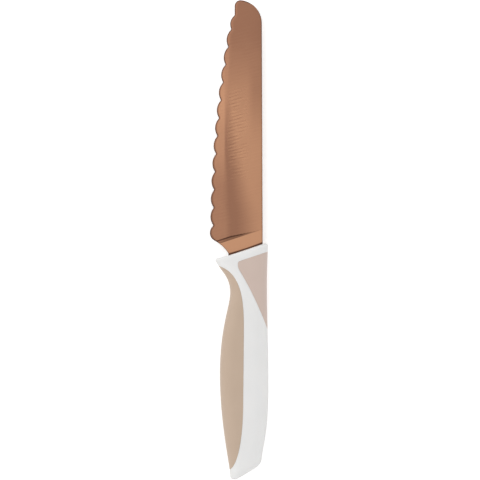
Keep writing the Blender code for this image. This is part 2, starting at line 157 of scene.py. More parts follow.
# Details too fine for the part
EDGE_ROUND = 0.00042
SPINE_EASE = 0.00012
PLUNGE_WIDTH = 0.00195
PLUNGE_WIDENS = (3.0, 2.2, 0.10, 1.0)
VALLEY_PASSES = 2
VALLEY_SOFTENED = 0.0006
PARTING_ROUND = 0.00010
PARTING_GAP = 0.00002
SLOT_GAP = 0.00010
SLOT_DEPTH = 0.0035

# The handle's skin: the share of the width that a round side may take, and the distance from
# its start to the side when the skin is unrolled
SIDE_SHARE = 0.46
QUARTER = 0.0112

# How finely the shapes are drawn
TIP_SPLIT = math.radians(58.0)
HEEL_STEPS = 60
HEEL_BUMP_STEPS = 80
SCALLOP_STEPS = 60
TIP_STEPS = 40
SPINE_TIP_STEPS = 80
TANG_STEPS = 60
TANG_NOSE_STEPS = 12
ROW_PITCH = 0.00018
ROW_LEAST_SPAN = 0.00001
BLADE_SEAM = 0.000002
BLADE_SLIVER = 0.0000005
SIDE_STEPS = 300
SIDE_CORNER_STEPS = 10
PULL_STEPS = 120
PARTING_STEPS = 1500
END_STEPS = 60
SKIN_PITCH = 0.0006
LINE_PITCH = 0.7 * SKIN_PITCH
NET_MARGIN = 0.45 * SKIN_PITCH
NET_ROWS = 0.87 * SKIN_PITCH
SKIN_SEAM = 0.000004
SKIN_LEVEL = 0.000003

# Marks of the making, from the grinding belt and the moulds
STROKE_SLANT = math.radians(15.0)
STROKE_PITCH = 0.0014
STROKE_LENGTH = 0.0032
STROKE_DEPTH = 0.00001
STROKE_SHARE = 0.62
STROKE_LEAST = 0.06
RIPPLE_LENGTH = 0.0100
RIPPLE_WIDTH = 0.0046
RIPPLE_WANDER = 2.4
HAIRLINE_PITCH = 0.0003
HAIRLINE_LENGTH = 0.0120
CLOUD_WIDTH = 0.0090
CLOUD_SHARE = 0.12
FLOW_WIDTH = 0.0140

# Painted darker reflection and shade on the blade's coat, and the belt's marks, as ramps: the
# two places that each runs between, and its values there. A place is a height, a distance
# across, or a station of the blade's section.
PAINTED_SHADE_TO_TIP = (0.0500, 0.0980, 0.24, 1.0)
PAINTED_BAND_STRENGTH = (0.0900, 0.0240, 0.0, 0.78)
PAINTED_BAND_MIDDLE = (0.0400, 0.0080, -0.0058, -0.0028)
PAINTED_BAND_REACH = (0.0620, 0.0080, 0.0026, 0.0134)
PAINTED_BAND_FLOOR = (0.0460, 0.0200, 0.05, 0.60)
PAINTED_BAND_BORDER = (0.0400, 0.0150, -0.0012, -0.0042)
LAND_PAINTED_SHADE = (0.0030, 0.0070, 0.0, 0.30)
LAND_SOONER = (0.0400, 0.0620, 0.0, 1.0)
LAND_LATER = (0.0640, 0.0820, 1.0, 0.1)
BEVEL_SIDE = (1.9, 2.1, 1.0, 0.0)
BEVEL_TO_MIDDLE = (0.0090, 0.0450, 0.08, 0.20)
BEVEL_PAST_MIDDLE = (0.0480, 0.0620, 0.0, -0.28)
STROKES_FROM_HEEL = (0.0240, 0.0380, 0.0, 1.0)
STROKES_TO_TIP = (0.0600, 0.0710, 1.0, 0.0)
STROKES_TO_LAND = (0.0002, 0.0052, 1.0, 0.0)
STROKES_FROM_BEVEL = (-0.0058, -0.0034, 0.0, 1.0)
STROKE_PATCHES = (0.40, 0.56, 0.1, 1.0)
STROKE_GLOSS = (-0.2, 0.2, 0.24, 0.34)
HAIRLINES = (0.40, 0.60, -0.02, 0.02)
GROUND = (0.7, 1.0, 0.0, 1.0)
# painted shade in the wheel's run-out, a painted shadow along the slot of the handle, and painted dark
# reflections over the rounded edge and the eased spine
RUN_OUT_SHADE_START = (0.0, 0.12, 0.0, 0.76)
RUN_OUT_SHADE_END = (0.55, 0.70, 0.0, 0.24)
RUN_OUT_SHADE_PAST = (0.95, 1.0, 1.0, 0.0)
RUN_OUT_SHADE_FADING = (0.0010, 0.0100, 1.0, 0.12)
SLOT_PAINTED_SHADOW = (0.0008, 0.0012, 0.95, 0.0)
EDGE_PAINTED_SHADE = (0.95, 1.14, 0.85, 0.0)
EDGE_PAINTED_SHADE_BEYOND = (0.0, 0.5, 0.3, 1.0)
SPINE_PAINTED_SHADE = (3.88, 3.98, 0.0, 0.55)

# Light. A stop of the room is a height, from the floor to the ceiling, and its brightness.
ROOM_LEVEL = 1.0
ROOM_STOPS = ((0.0, 1.66), (0.16, 1.58), (0.34, 0.80), (0.74, 0.75), (0.90, 0.92), (1.0, 0.94))
TABLE_GLOW = 0.42
TABLE_REACH = 6.0

SPINE_CORNER = Vector(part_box("blade")[1])
HANDLE_MIDDLE = (Vector(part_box("handle_core")[0]) + Vector(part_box("handle_core")[1])) / 2
SHIFT = Vector((SPINE_CORNER.x - SPINE_AT_HANDLE, SPINE_CORNER.y - BLADE_LENGTH, HANDLE_MIDDLE.z))

# Photograph: straight down, from far away
LENS = 200.0
SENSOR = 36.0
VIEW_HEIGHT = 0.2157
VIEW_CENTRE = (0.00038, -0.00002)


def add(tree, kind, *inputs, **settings):
    """Add a node with its settings, and give its sockets values or links in their order."""
    node = tree.nodes.new(kind)
    for name, value in settings.items():
        setattr(node, name, value)
    sockets = [socket for socket in node.inputs if socket.enabled]
    for socket, value in zip(sockets, inputs):
        if isinstance(value, bpy.types.Node):
            value = next(output for output in value.outputs if output.enabled)
        if isinstance(value, bpy.types.NodeSocket):
            tree.links.new(value, socket)
        elif value is not None:
            socket.default_value = value
    return node


def colour(code):
    """An sRGB hex colour as linear RGBA."""
    parts = [int(code[i:i + 2], 16) / 255 for i in (0, 2, 4)]
    linear = [c / 12.92 if c <= 0.04045 else ((c + 0.055) / 1.055) ** 2.4 for c in parts]
    return (*linear, 1.0)


# The drawing's curves, as in the part


def line_front(x):
    """The height of the handle's slanted front face at x."""
    return x * math.tan(FRONT_ANGLE)


def butt_line(x):
    """The handle's oblique rear face at x."""
    low_x = -BUTT_BELLY_REACH + BUTT_CORNER * BUTT_LEFT_ENDS[0]
    return -HANDLE_LENGTH + (x - low_x) * math.tan(BUTT_ANGLE)


def bezier(p0, p1, p2, p3, steps):
    """Points of a cubic Bezier curve, both ends included."""
    t = np.linspace(0, 1, steps + 1)[:, None]
    p0, p1, p2, p3 = (np.array(p) for p in (p0, p1, p2, p3))
    return (1 - t) ** 3 * p0 + 3 * t * (1 - t) ** 2 * p1 + 3 * t * t * (1 - t) * p2 + t ** 3 * p3


def corner(start, tip, end, steps):
    """A round corner from start to end, drawn towards the sharp corner tip."""
    pull = 0.56
    start, tip, end = (np.array(p) for p in (start, tip, end))
    return bezier(start, start + pull * (tip - start), end + pull * (tip - end), end, steps)


def arc(centre, radius, start, end, steps):
    """Points of a circular arc between two angles, both ends included."""
    a = np.linspace(start, end, steps + 1)
    return np.column_stack((centre[0] + radius * np.cos(a), centre[1] + radius * np.sin(a)))


def lengths(points):
    """The distance along a polyline at each of its points."""
    return np.concatenate(([0.0], np.cumsum(np.linalg.norm(np.diff(points, axis=0), axis=1))))


def evenly(points, steps):
    """The same polyline with its points spread evenly along its length."""
    at = lengths(points)
    want = np.linspace(0, at[-1], steps + 1)
    return np.column_stack([np.interp(want, at, points[:, k]) for k in range(points.shape[1])])


def edge_point(turn):
    """The line through the bottoms of the scallops, a wide sweep, at an angle along it."""
    rise = EDGE_SWEEP_RADIUS * (1 - math.cos(turn))
    return (-EDGE_REACH + rise, EDGE_WIDEST_AT + EDGE_SWEEP_RADIUS * math.sin(turn))


# The blade


def edge_side():
    """The edge side from the shoulder to the tip, with the scallops not yet drawn.

    Each row is x, y, the distance run since the first valley, and how far the scallops reach.
    The last, shorter scallop counts as one whole pitch of run.
    """
    first = math.asin((FIRST_VALLEY_AT - EDGE_WIDEST_AT) / EDGE_SWEEP_RADIUS)
    step = SCALLOP_PITCH / EDGE_SWEEP_RADIUS
    last_y = BLADE_LENGTH - TIP_RADIUS
    count = 0
    while edge_point(first + (count + 1) * step)[1] <= last_y:
        count += 1
    valley = Vector(edge_point(first))
    bump = valley + HEEL_BUMP_RADIUS * Vector(
        (math.cos(HEEL_BUMP_OPENING), -math.sin(HEEL_BUMP_OPENING))
    )
    out = Vector((-math.sin(HEEL_SWEEP_START), -math.cos(HEEL_SWEEP_START)))
    sweep = bump + out * (HEEL_BUMP_RADIUS + HEEL_SWEEP_RADIUS)
    touch = math.atan2(-out.y, -out.x)
    shoulder = math.acos((-SHOULDER_LEFT - sweep.x) / HEEL_SWEEP_RADIUS)
    heel = arc(sweep, HEEL_SWEEP_RADIUS, shoulder, touch, HEEL_STEPS)
    rounded = (touch + math.pi, math.pi - HEEL_BUMP_OPENING)
    heel_bump = arc(bump, HEEL_BUMP_RADIUS, *rounded, HEEL_BUMP_STEPS)
    buried = (-SHOULDER_LEFT, line_front(-SHOULDER_LEFT) - SHOULDER_DEPTH)
    heel = np.vstack((buried, heel, heel_bump[1:]))

    turns = np.linspace(first, first + count * step, SCALLOP_STEPS * count + 1)
    scallops = np.array([edge_point(turn) for turn in turns])
    last_valley = np.array(edge_point(first + count * step))
    tip_valley = np.array((-TIP_SIDE, last_valley[1] + LAST_SCALLOP_PITCH))
    rise = np.linspace(0, 1, SCALLOP_STEPS + 1)[1:, None]
    last = last_valley + rise * (tip_valley - last_valley)

    tip_centre = (SPINE_AT_TIP - TIP_RADIUS, BLADE_LENGTH - TIP_RADIUS)
    inner = TIP_RADIUS - TIP_CORNER_RADIUS
    corner_x = -TIP_SIDE + TIP_CORNER_RADIUS
    lean = math.acos((corner_x - tip_centre[0]) / inner)
    corner_centre = (corner_x, tip_centre[1] + inner * math.sin(lean))
    tip = arc(corner_centre, TIP_CORNER_RADIUS, math.pi, lean, TIP_STEPS)
    tip = np.vstack((tip, arc(tip_centre, TIP_RADIUS, lean, TIP_SPLIT, TIP_STEPS)[1:]))

    rows = []
    run_step = SCALLOP_PITCH / SCALLOP_STEPS
    run_whole = count * SCALLOP_PITCH
    run_end = run_whole + SCALLOP_PITCH
    for points, start, end, reach in (
        (heel, 0.0, 0.0, 0.0),
        (scallops[1:], run_step, run_whole, 1.0),
        (last, run_whole + run_step, run_end, LAST_SCALLOP_HEIGHT / SCALLOP_HEIGHT),
        (tip, run_end, run_end, 0.0),
    ):
        run = np.linspace(start, end, len(points))
        rows.append(np.column_stack((points, run, np.full(len(points), reach))))
    return np.vstack(rows)


def spine_side():
    """The spine side from the shoulder to where it meets the edge side on the tip."""
    right = line_front(SPINE_AT_HANDLE) - SHOULDER_DEPTH
    straight = np.array(((SPINE_AT_HANDLE, right), (SPINE_AT_TIP, BLADE_LENGTH - TIP_RADIUS)))
    tip_centre = (SPINE_AT_TIP - TIP_RADIUS, BLADE_LENGTH - TIP_RADIUS)
    return np.vstack((straight, arc(tip_centre, TIP_RADIUS, 0.0, TIP_SPLIT, SPINE_TIP_STEPS)[1:]))


def cut_by(chain, slant, wanted):
    """The chain's rows where its slanted height takes each wanted value."""
    return np.column_stack([np.interp(wanted, slant, chain[:, k]) for k in range(chain.shape[1])])


def blade_lines():
    """The edge line and the spine line, point for point across the blade, from the tang up."""
    edge = edge_side()
    spine = spine_side()
    # across the handle's front and the plunge line the rows run parallel to the front face
    edge_slant = edge[:, 1] - line_front(edge[:, 0])
    spine_slant = spine[:, 1] - line_front(spine[:, 0])
    parallel_to = 0.020
    lowest = -SHOULDER_DEPTH + 0.0001
    wanted = np.arange(lowest, parallel_to, ROW_PITCH)
    low_edge = cut_by(edge, edge_slant, wanted)
    low_spine = cut_by(spine, spine_slant, wanted)
    edge_at = lengths(edge[:, :2])
    spine_at = lengths(spine)
    edge_from = np.interp(wanted[-1], edge_slant, edge_at)
    spine_from = np.interp(wanted[-1], spine_slant, spine_at)
    steps = round((spine_at[-1] - spine_from) / ROW_PITCH)
    high_edge = cut_by(edge, edge_at, np.linspace(edge_from, edge_at[-1], steps + 1)[1:])
    high_spine = cut_by(spine, spine_at, np.linspace(spine_from, spine_at[-1], steps + 1)[1:])

    nose = TANG_WIDTH / 2
    end = (TANG_CENTRE, -TANG_LENGTH + nose)
    tang_edge = arc(end, nose, -math.pi / 2, -math.pi, TANG_NOSE_STEPS)
    tang_spine = arc(end, nose, -math.pi / 2, 0.0, TANG_NOSE_STEPS)
    rise = np.linspace(0, 1, TANG_STEPS)[1:, None]
    left = np.array((TANG_CENTRE - nose, line_front(TANG_CENTRE - nose) - SHOULDER_DEPTH))
    right = np.array((TANG_CENTRE + nose, line_front(TANG_CENTRE + nose) - SHOULDER_DEPTH))
    tang_edge = np.vstack((tang_edge, tang_edge[-1] + rise * (left - tang_edge[-1])))
    tang_spine = np.vstack((tang_spine, tang_spine[-1] + rise * (right - tang_spine[-1])))
    tang_edge = np.column_stack((tang_edge, np.zeros((len(tang_edge), 2))))
    return (
        np.vstack((tang_edge, low_edge, high_edge)),
        np.vstack((tang_spine, low_spine, high_spine)),
    )


def line_object(name, points, **attributes):
    """A polyline for a node tree to read, with a value or a direction on each point."""
    mesh = bpy.data.meshes.new(name)
    flat = [(*p, 0.0) for p in points[:, :2]]
    mesh.from_pydata(flat, [(i, i + 1) for i in range(len(flat) - 1)], [])
    for key, values in attributes.items():
        kind = "FLOAT_VECTOR" if values.ndim == 2 else "FLOAT"
        attribute = mesh.attributes.new(key, kind, "POINT")
        attribute.data.foreach_set("vector" if values.ndim == 2 else "value", values.ravel())
    ob = bpy.data.objects.new(name, mesh)
    bpy.context.collection.objects.link(ob)
    return ob


def section_columns():
    """The blade's section as columns from the edge to the spine: a station and a height.

    Stations 0 to 1 are the rounded edge, then the bevel, the flat grind, the unground land
    and, from 4 to 5, the eased spine. The height is a share of the half thickness.
    """
    turn = np.linspace(0, math.pi / 2, 8)
    rounded = np.column_stack((1 - np.cos(turn), np.sin(turn)))
    faces = [(s, 1.0) for s in np.linspace(1, 2, 6)[1:]]
    faces += [(s, 1.0) for s in np.linspace(2, 3, 11)[1:]]
    faces += [(s, 1.0) for s in np.linspace(3, 4, 4)[1:]]
    turn = np.linspace(0, math.pi / 2, 5)[1:]
    ease = SPINE_EASE / (STOCK / 2)
    eased = np.column_stack((4 + np.sin(turn), 1 - ease * (1 - np.cos(turn))))
    return np.vstack((rounded, faces, eased, ((5.0, 0.4), (5.0, 0.0))))


def blade_tree():
    """Skins the blade between its edge line and its spine line, and draws its scallops."""
    tree = bpy.data.node_groups.new("ground scalloped blade", "GeometryNodeTree")
    names = (
        ("Edge line", "NodeSocketObject"), ("Spine line", "NodeSocketObject"),
        ("Section", "NodeSocketObject"), ("Scallop pitch", "NodeSocketFloat"),
        ("Scallop height", "NodeSocketFloat"), ("Valley passes", "NodeSocketInt"),
        ("Stock", "NodeSocketFloat"), ("Edge round", "NodeSocketFloat"),
        ("Spine ease", "NodeSocketFloat"), ("Land at", "NodeSocketFloat"),
        ("Grind slope", "NodeSocketFloat"), ("Bevel slope", "NodeSocketFloat"),
        ("Bevel at heel", "NodeSocketFloat"), ("Bevel at tip", "NodeSocketFloat"),
        ("Length", "NodeSocketFloat"), ("Front slope", "NodeSocketFloat"),
        ("Plunge at", "NodeSocketFloat"), ("Plunge width", "NodeSocketFloat"),
        ("Material", "NodeSocketMaterial"),
    )
    for name, kind in names:
        tree.interface.new_socket(name, in_out="INPUT", socket_type=kind)
    tree.interface.new_socket("Geometry", in_out="OUTPUT", socket_type="NodeSocketGeometry")
    do = partial(add, tree)
    number, vector = "ShaderNodeMath", "ShaderNodeVectorMath"
    size = do("NodeGroupInput").outputs
    here = do("GeometryNodeInputPosition")

    # the scallops: one arc for each pitch of the run, pushed out from the edge line
    edge = do("GeometryNodeObjectInfo", size["Edge line"]).outputs["Geometry"]
    run = do("GeometryNodeInputNamedAttribute", "run", data_type="FLOAT")
    reach = do("GeometryNodeInputNamedAttribute", "reach", data_type="FLOAT")
    outward = do("GeometryNodeInputNamedAttribute", "outward", data_type="FLOAT_VECTOR")
    soften = do("GeometryNodeInputNamedAttribute", "soften", data_type="FLOAT")
    pitch, height = size["Scallop pitch"], size["Scallop height"]
    half_pitch = do(number, pitch, 0.5, operation="MULTIPLY")
    within = do(number, run, pitch, operation="FLOORED_MODULO")
    within = do(number, within, half_pitch, operation="SUBTRACT")
    half_squared = do(number, half_pitch, 2.0, operation="POWER")
    squares = do(number, height, height, half_squared, operation="MULTIPLY_ADD")
    twice = do(number, height, 2.0, operation="MULTIPLY")
    radius = do(number, squares, twice, operation="DIVIDE")
    radius_squared = do(number, radius, 2.0, operation="POWER")
    within_squared = do(number, within, within, operation="MULTIPLY")
    drop = do(number, radius_squared, within_squared, operation="SUBTRACT")
    drop = do(number, drop, operation="SQRT")
    sunk = do(number, radius, height, operation="SUBTRACT")
    bump = do(number, drop, sunk, operation="SUBTRACT")
    bump = do(number, bump, reach, operation="MULTIPLY")
    push = do(vector, outward, bump, operation="SCALE")
    edge = do("GeometryNodeSetPosition", edge, None, None, push)
    blurred = do(
        "GeometryNodeBlurAttribute", here, size["Valley passes"], soften, data_type="FLOAT_VECTOR"
    )
    edge = do("GeometryNodeSetPosition", edge, None, blurred)

    # a grid with one row for each pair of points and one column for each place on the section
    spine = do("GeometryNodeObjectInfo", size["Spine line"]).outputs["Geometry"]
    section = do("GeometryNodeObjectInfo", size["Section"]).outputs["Geometry"]
    rows = do("GeometryNodeAttributeDomainSize", edge).outputs["Point Count"]
    columns = do("GeometryNodeAttributeDomainSize", section).outputs["Point Count"]
    grid = do("GeometryNodeMeshGrid", 1.0, 1.0, rows, columns)
    index = do("GeometryNodeInputIndex")
    row = do(number, index, columns, operation="DIVIDE")
    row = do(number, row, operation="FLOOR")
    row_start = do(number, row, columns, operation="MULTIPLY")
    column = do(number, index, row_start, operation="SUBTRACT")
    after = do(number, row, 1.0, operation="ADD")
    before = do(number, row, 1.0, operation="SUBTRACT")
    # the first and the last row close to a point
    last = do(number, rows, 2.0, operation="SUBTRACT")
    ended = do(number, row, last, operation="GREATER_THAN")
    begun = do(number, row, 0.5, operation="GREATER_THAN")
    between = do(number, begun, ended, operation="SUBTRACT")
    sample = partial(do, "GeometryNodeSampleIndex", data_type="FLOAT_VECTOR", clamp=True)
    inner = []
    outer = []
    for line, inset, turned in ((edge, "Edge round", -1.0), (spine, "Spine ease", 1.0)):
        point = sample(line, here, row)
        along = do(vector, sample(line, here, after), sample(line, here, before), operation="SUBTRACT")
        across = do(vector, (0.0, 0.0, turned), along, operation="CROSS_PRODUCT")
        across = do(vector, across, operation="NORMALIZE")
        across = do(vector, across, size[inset], operation="SCALE")
        across = do(vector, across, between, operation="SCALE")
        outer.append(point)
        inner.append(do(vector, point, across, operation="ADD"))

    # where the bevel and the land begin on each row
    left = do("ShaderNodeSeparateXYZ", inner[0])
    right = do("ShaderNodeSeparateXYZ", inner[1])
    span = do(number, right.outputs["X"], left.outputs["X"], operation="SUBTRACT")
    span = do(number, span, ROW_LEAST_SPAN, operation="MAXIMUM")
    bevel_x = do(
        "ShaderNodeMapRange", left.outputs["Y"], 0.0, size["Length"],
        size["Bevel at heel"], size["Bevel at tip"], clamp=False,
    )
    bevel_share = do(number, bevel_x, left.outputs["X"], operation="SUBTRACT")
    bevel_share = do(number, bevel_share, span, operation="DIVIDE")
    bevel_share = do("ShaderNodeClamp", bevel_share, 0.04, 0.60)
    land_share = do(number, size["Land at"], left.outputs["X"], operation="SUBTRACT")
    land_share = do(number, land_share, span, operation="DIVIDE")
    land_share = do("ShaderNodeClamp", land_share, 0.64, 0.96)
    bevel = do("ShaderNodeMix", bevel_share, inner[0], inner[1], data_type="VECTOR")
    land = do("ShaderNodeMix", land_share, inner[0], inner[1], data_type="VECTOR")

    # from the edge over the bevel, the grind and the land to the spine
    place = do("ShaderNodeSeparateXYZ", sample(section, here, column))
    station = place.outputs["X"]
    point = do("ShaderNodeMix", station, outer[0], inner[0], data_type="VECTOR")
    for passed, target in ((1.0, bevel), (2.0, land), (3.0, inner[1]), (4.0, outer[1])):
        share = do(number, station, passed, operation="SUBTRACT")
        point = do("ShaderNodeMix", share, point, target, data_type="VECTOR")

    # what the grinder took off, ahead of the plunge line
    spot = do("ShaderNodeSeparateXYZ", point)
    depth = 0.0
    for edge_of, slope in ((land, "Grind slope"), (bevel, "Bevel slope")):
        limit = do("ShaderNodeSeparateXYZ", edge_of).outputs["X"]
        ground = do(number, limit, spot.outputs["X"], operation="SUBTRACT")
        ground = do(number, ground, 0.0, operation="MAXIMUM")
        depth = do(number, ground, size[slope], depth, operation="MULTIPLY_ADD")
    slant = do(number, spot.outputs["X"], size["Front slope"], operation="MULTIPLY")
    slant = do(number, spot.outputs["Y"], slant, operation="SUBTRACT")
    # the deeper the wheel cuts, towards the edge, the wider its run-out
    cut = do("ShaderNodeMapRange", station, *PLUNGE_WIDENS)
    run_out = do(number, cut, size["Plunge width"], operation="MULTIPLY")
    plunge_end = do(number, size["Plunge at"], run_out, operation="ADD")
    plunge = do("ShaderNodeMapRange", slant, size["Plunge at"], plunge_end, 0.0, 1.0)
    mask = do(
        "ShaderNodeMapRange", plunge, 0.0, 1.0, 0.0, 1.0, interpolation_type="SMOOTHSTEP"
    )
    depth = do(number, depth, mask, operation="MULTIPLY")
    half = do(number, size["Stock"], 0.5, operation="MULTIPLY")
    half = do(number, half, depth, operation="SUBTRACT")
    half = do(number, half, between, operation="MULTIPLY")
    lift = do(number, half, place.outputs["Y"], operation="MULTIPLY")
    placed = do("ShaderNodeCombineXYZ", spot.outputs["X"], spot.outputs["Y"], lift)
    top = do("GeometryNodeStoreNamedAttribute", grid, None, "plunge", plunge, data_type="FLOAT")
    top = do("GeometryNodeStoreNamedAttribute", top, None, "station", station, data_type="FLOAT")
    top = do("GeometryNodeSetPosition", top, None, placed)

    # the same face underneath, joined round the middle plane
    under = do("GeometryNodeTransform", top)
    under.inputs["Scale"].default_value = (1.0, 1.0, -1.0)
    under = do("GeometryNodeFlipFaces", under)
    both = do("GeometryNodeJoinGeometry")
    tree.links.new(top.outputs[0], both.inputs[0])
    tree.links.new(under.outputs[0], both.inputs[0])
    closed = do("GeometryNodeMergeByDistance", both, None, BLADE_SEAM)
    closed = do("GeometryNodeSetShadeSmooth", closed)
    real = do("GeometryNodeRealizeInstances", closed)
    dressed = do("GeometryNodeSetMaterial", real, None, size["Material"])
    do("NodeGroupOutput", dressed)
    return tree


def make_blade(mat):
    """The blade, grown by its tree between the two lines and made a plain mesh."""
    edge, spine = blade_lines()
    along = np.gradient(edge[:, :2], axis=0)
    along /= np.linalg.norm(along, axis=1)[:, None]
    outward = np.column_stack((-along[:, 1], along[:, 0], np.zeros(len(edge))))
    past_heel = edge[:, 1] > FIRST_VALLEY_AT - VALLEY_SOFTENED
    before_tip = edge[:, 1] < BLADE_LENGTH - TIP_RADIUS + VALLEY_SOFTENED
    near_valley = past_heel & ((edge[:, 3] > 0) | before_tip)
    edge_ob = line_object(
        "edge_line", edge, run=edge[:, 2], reach=edge[:, 3], outward=outward,
        soften=near_valley.astype(float),
    )
    spine_ob = line_object("spine_line", spine)
    section_ob = line_object("blade_section", section_columns())
    land = SPINE_AT_TIP - LAND_WIDTH
    values = {
        "Edge line": edge_ob, "Spine line": spine_ob, "Section": section_ob,
        "Scallop pitch": SCALLOP_PITCH, "Scallop height": SCALLOP_HEIGHT,
        "Valley passes": VALLEY_PASSES, "Stock": STOCK, "Edge round": EDGE_ROUND,
        "Spine ease": SPINE_EASE, "Land at": land,
        "Grind slope": GRIND_DEPTH / (land + BEVEL_AT_HEEL),
        "Bevel slope": BEVEL_DEPTH / (EDGE_REACH - BEVEL_AT_HEEL),
        "Bevel at heel": -BEVEL_AT_HEEL, "Bevel at tip": -BEVEL_AT_TIP,
        "Length": BLADE_LENGTH, "Front slope": math.tan(FRONT_ANGLE),
        "Plunge at": RICASSO_LENGTH / math.cos(FRONT_ANGLE) - PLUNGE_WIDTH / 2,
        "Plunge width": PLUNGE_WIDTH, "Material": mat,
    }
    maker = bpy.data.objects.new("blade_maker", bpy.data.meshes.new("blade_maker"))
    bpy.context.collection.objects.link(maker)
    modifier = maker.modifiers.new("grown by its tree", "NODES")
    modifier.node_group = blade_tree()
    for item in modifier.node_group.interface.items_tree:
        if item.in_out == "INPUT":
            modifier[item.identifier] = values[item.name]
    graph = bpy.context.evaluated_depsgraph_get()
    mesh = bpy.data.meshes.new_from_object(maker.evaluated_get(graph))
    maker.modifiers.clear()
    for ob in (maker, edge_ob, spine_ob, section_ob):
        bpy.data.objects.remove(ob)
    bm = bmesh.new()
    bm.from_mesh(mesh)
    bmesh.ops.dissolve_degenerate(bm, dist=BLADE_SLIVER, edges=bm.edges)
    bmesh.ops.recalc_face_normals(bm, faces=bm.faces)
    bmesh.ops.translate(bm, verts=bm.verts, vec=SHIFT)
    bm.to_mesh(mesh)
    bm.free()
    return finished("coated_blade", mesh, mat, "blade")


def finished(name, mesh, mat, node):
    """Put a mesh in the scene in place of a node of the part."""
    mesh.name = name
    mesh.materials.clear()
    mesh.materials.append(mat)
    ob = bpy.data.objects.new(name, mesh)
    bpy.context.collection.objects.link(ob)
    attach(ob, "root")
    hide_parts(node)
    return ob


# The handle


def handle_sides():
    """The belly side, the palm side and the half thickness at many stations, front to rear."""
    ends = SIDE_CORNER_STEPS
    guard = (-GUARD_REACH, line_front(-GUARD_REACH))
    guard_in, guard_down = (share * GUARD_CORNER for share in GUARD_CORNER_ENDS)
    guard_end = (-GUARD_REACH + guard_in, guard[1] - guard_down)
    guard_start = (-GUARD_REACH + GUARD_CORNER, line_front(-GUARD_REACH + GUARD_CORNER))
    back_tip = (BACK_REACH, line_front(BACK_REACH) - BACK_TIP_DROP * BACK_CORNER)
    back_start = (BACK_REACH - BACK_CORNER, line_front(BACK_REACH - BACK_CORNER))
    back_end = (BACK_REACH, back_tip[1] - BACK_CORNER)
    choil = (-CHOIL_REACH, -CHOIL_AT)
    belly = (-BELLY_REACH, -BELLY_AT)
    palm = (PALM_REACH, -PALM_AT)
    butt_low = (-BUTT_BELLY_REACH, butt_line(-BUTT_BELLY_REACH))
    butt_high = (BUTT_PALM_REACH, butt_line(BUTT_PALM_REACH))
    left_in, left_up = (share * BUTT_CORNER for share in BUTT_LEFT_ENDS)
    right_in, right_up = (share * BUTT_CORNER for share in BUTT_RIGHT_ENDS)
    tail_left = (-BUTT_BELLY_REACH + TAIL_LEFT_IN, butt_low[1] + left_up)
    tail_right = (BUTT_PALM_REACH + TAIL_RIGHT_OUT, butt_high[1] + right_up)
    butt_left = butt_low[0] + left_in
    butt_right = butt_high[0] - right_in

    def run(*legs):
        """Curves joined end to end, each leaving and arriving at its own pulls."""
        parts = []
        for start, pull_out, pull_in, end in legs:
            p1 = np.add(start, pull_out)
            p2 = np.add(end, pull_in)
            parts.append(bezier(start, p1, p2, end, PULL_STEPS))
        return evenly(np.vstack([parts[0]] + [part[1:] for part in parts[1:]]), SIDE_STEPS)

    left = run(
        (guard_end, GUARD_PULL, (0.0, CHOIL_PULL_AHEAD), choil),
        (choil, (0.0, -CHOIL_PULL_BEHIND), (0.0, BELLY_PULL_AHEAD), belly),
        (belly, (0.0, -BELLY_PULL_BEHIND), BUTT_BELLY_PULL, tail_left),
    )
    right = run(
        (back_end, BACK_PULL, (0.0, PALM_PULL), palm),
        (palm, (0.0, -PALM_PULL), BUTT_PALM_PULL, tail_right),
    )
    low_end = (butt_left, butt_line(butt_left))
    high_end = (butt_right, butt_line(butt_right))
    left = np.vstack((
        corner(guard_start, guard, guard_end, ends), left[1:],
        corner(tail_left, butt_low, low_end, ends)[1:],
    ))
    right = np.vstack((
        corner(back_start, back_tip, back_end, ends), right[1:],
        corner(tail_right, butt_high, high_end, ends)[1:],
    ))
    turn = np.linspace(0, math.pi / 2, ends + 1)
    half = np.full(len(left), HANDLE_THICKNESS / 2)
    half[:ends + 1] -= FRONT_FILLET * (1 - np.sin(turn))
    half[-ends - 1:] -= BUTT_FILLET * (1 - np.cos(turn))
    return left, right, half


LEFT, RIGHT, HALF = handle_sides()
ALONG = lengths((LEFT + RIGHT) / 2)
POWER = 2 / SECTION_FULLNESS


def hollow_rise(x):
    """How far the hollow front face stands ahead of the flat one at x."""
    return (x - FRONT_HOLLOW_AT) ** 2 / (2 * FRONT_HOLLOW_RADIUS)


def hollowed(plan):
    """Points of the flat-fronted plan, bent with the hollow front face where it is near."""
    share = 1 - (line_front(plan[:, 0]) - plan[:, 1]) / FRONT_HOLLOW_FADE
    rise = np.clip(share, 0, None) * hollow_rise(plan[:, 0])
    return np.column_stack((plan[:, 0], plan[:, 1] + rise))


def flattened(plan):
    """The places that the hollow front face bends onto the given points."""
    front = line_front(plan[:, 0])
    rise = hollow_rise(plan[:, 0])
    near = (plan[:, 1] - rise + rise * front / FRONT_HOLLOW_FADE) / (1 + rise / FRONT_HOLLOW_FADE)
    bent = near > front - FRONT_HOLLOW_FADE
    return np.column_stack((plan[:, 0], np.where(bent, near, plan[:, 1])))


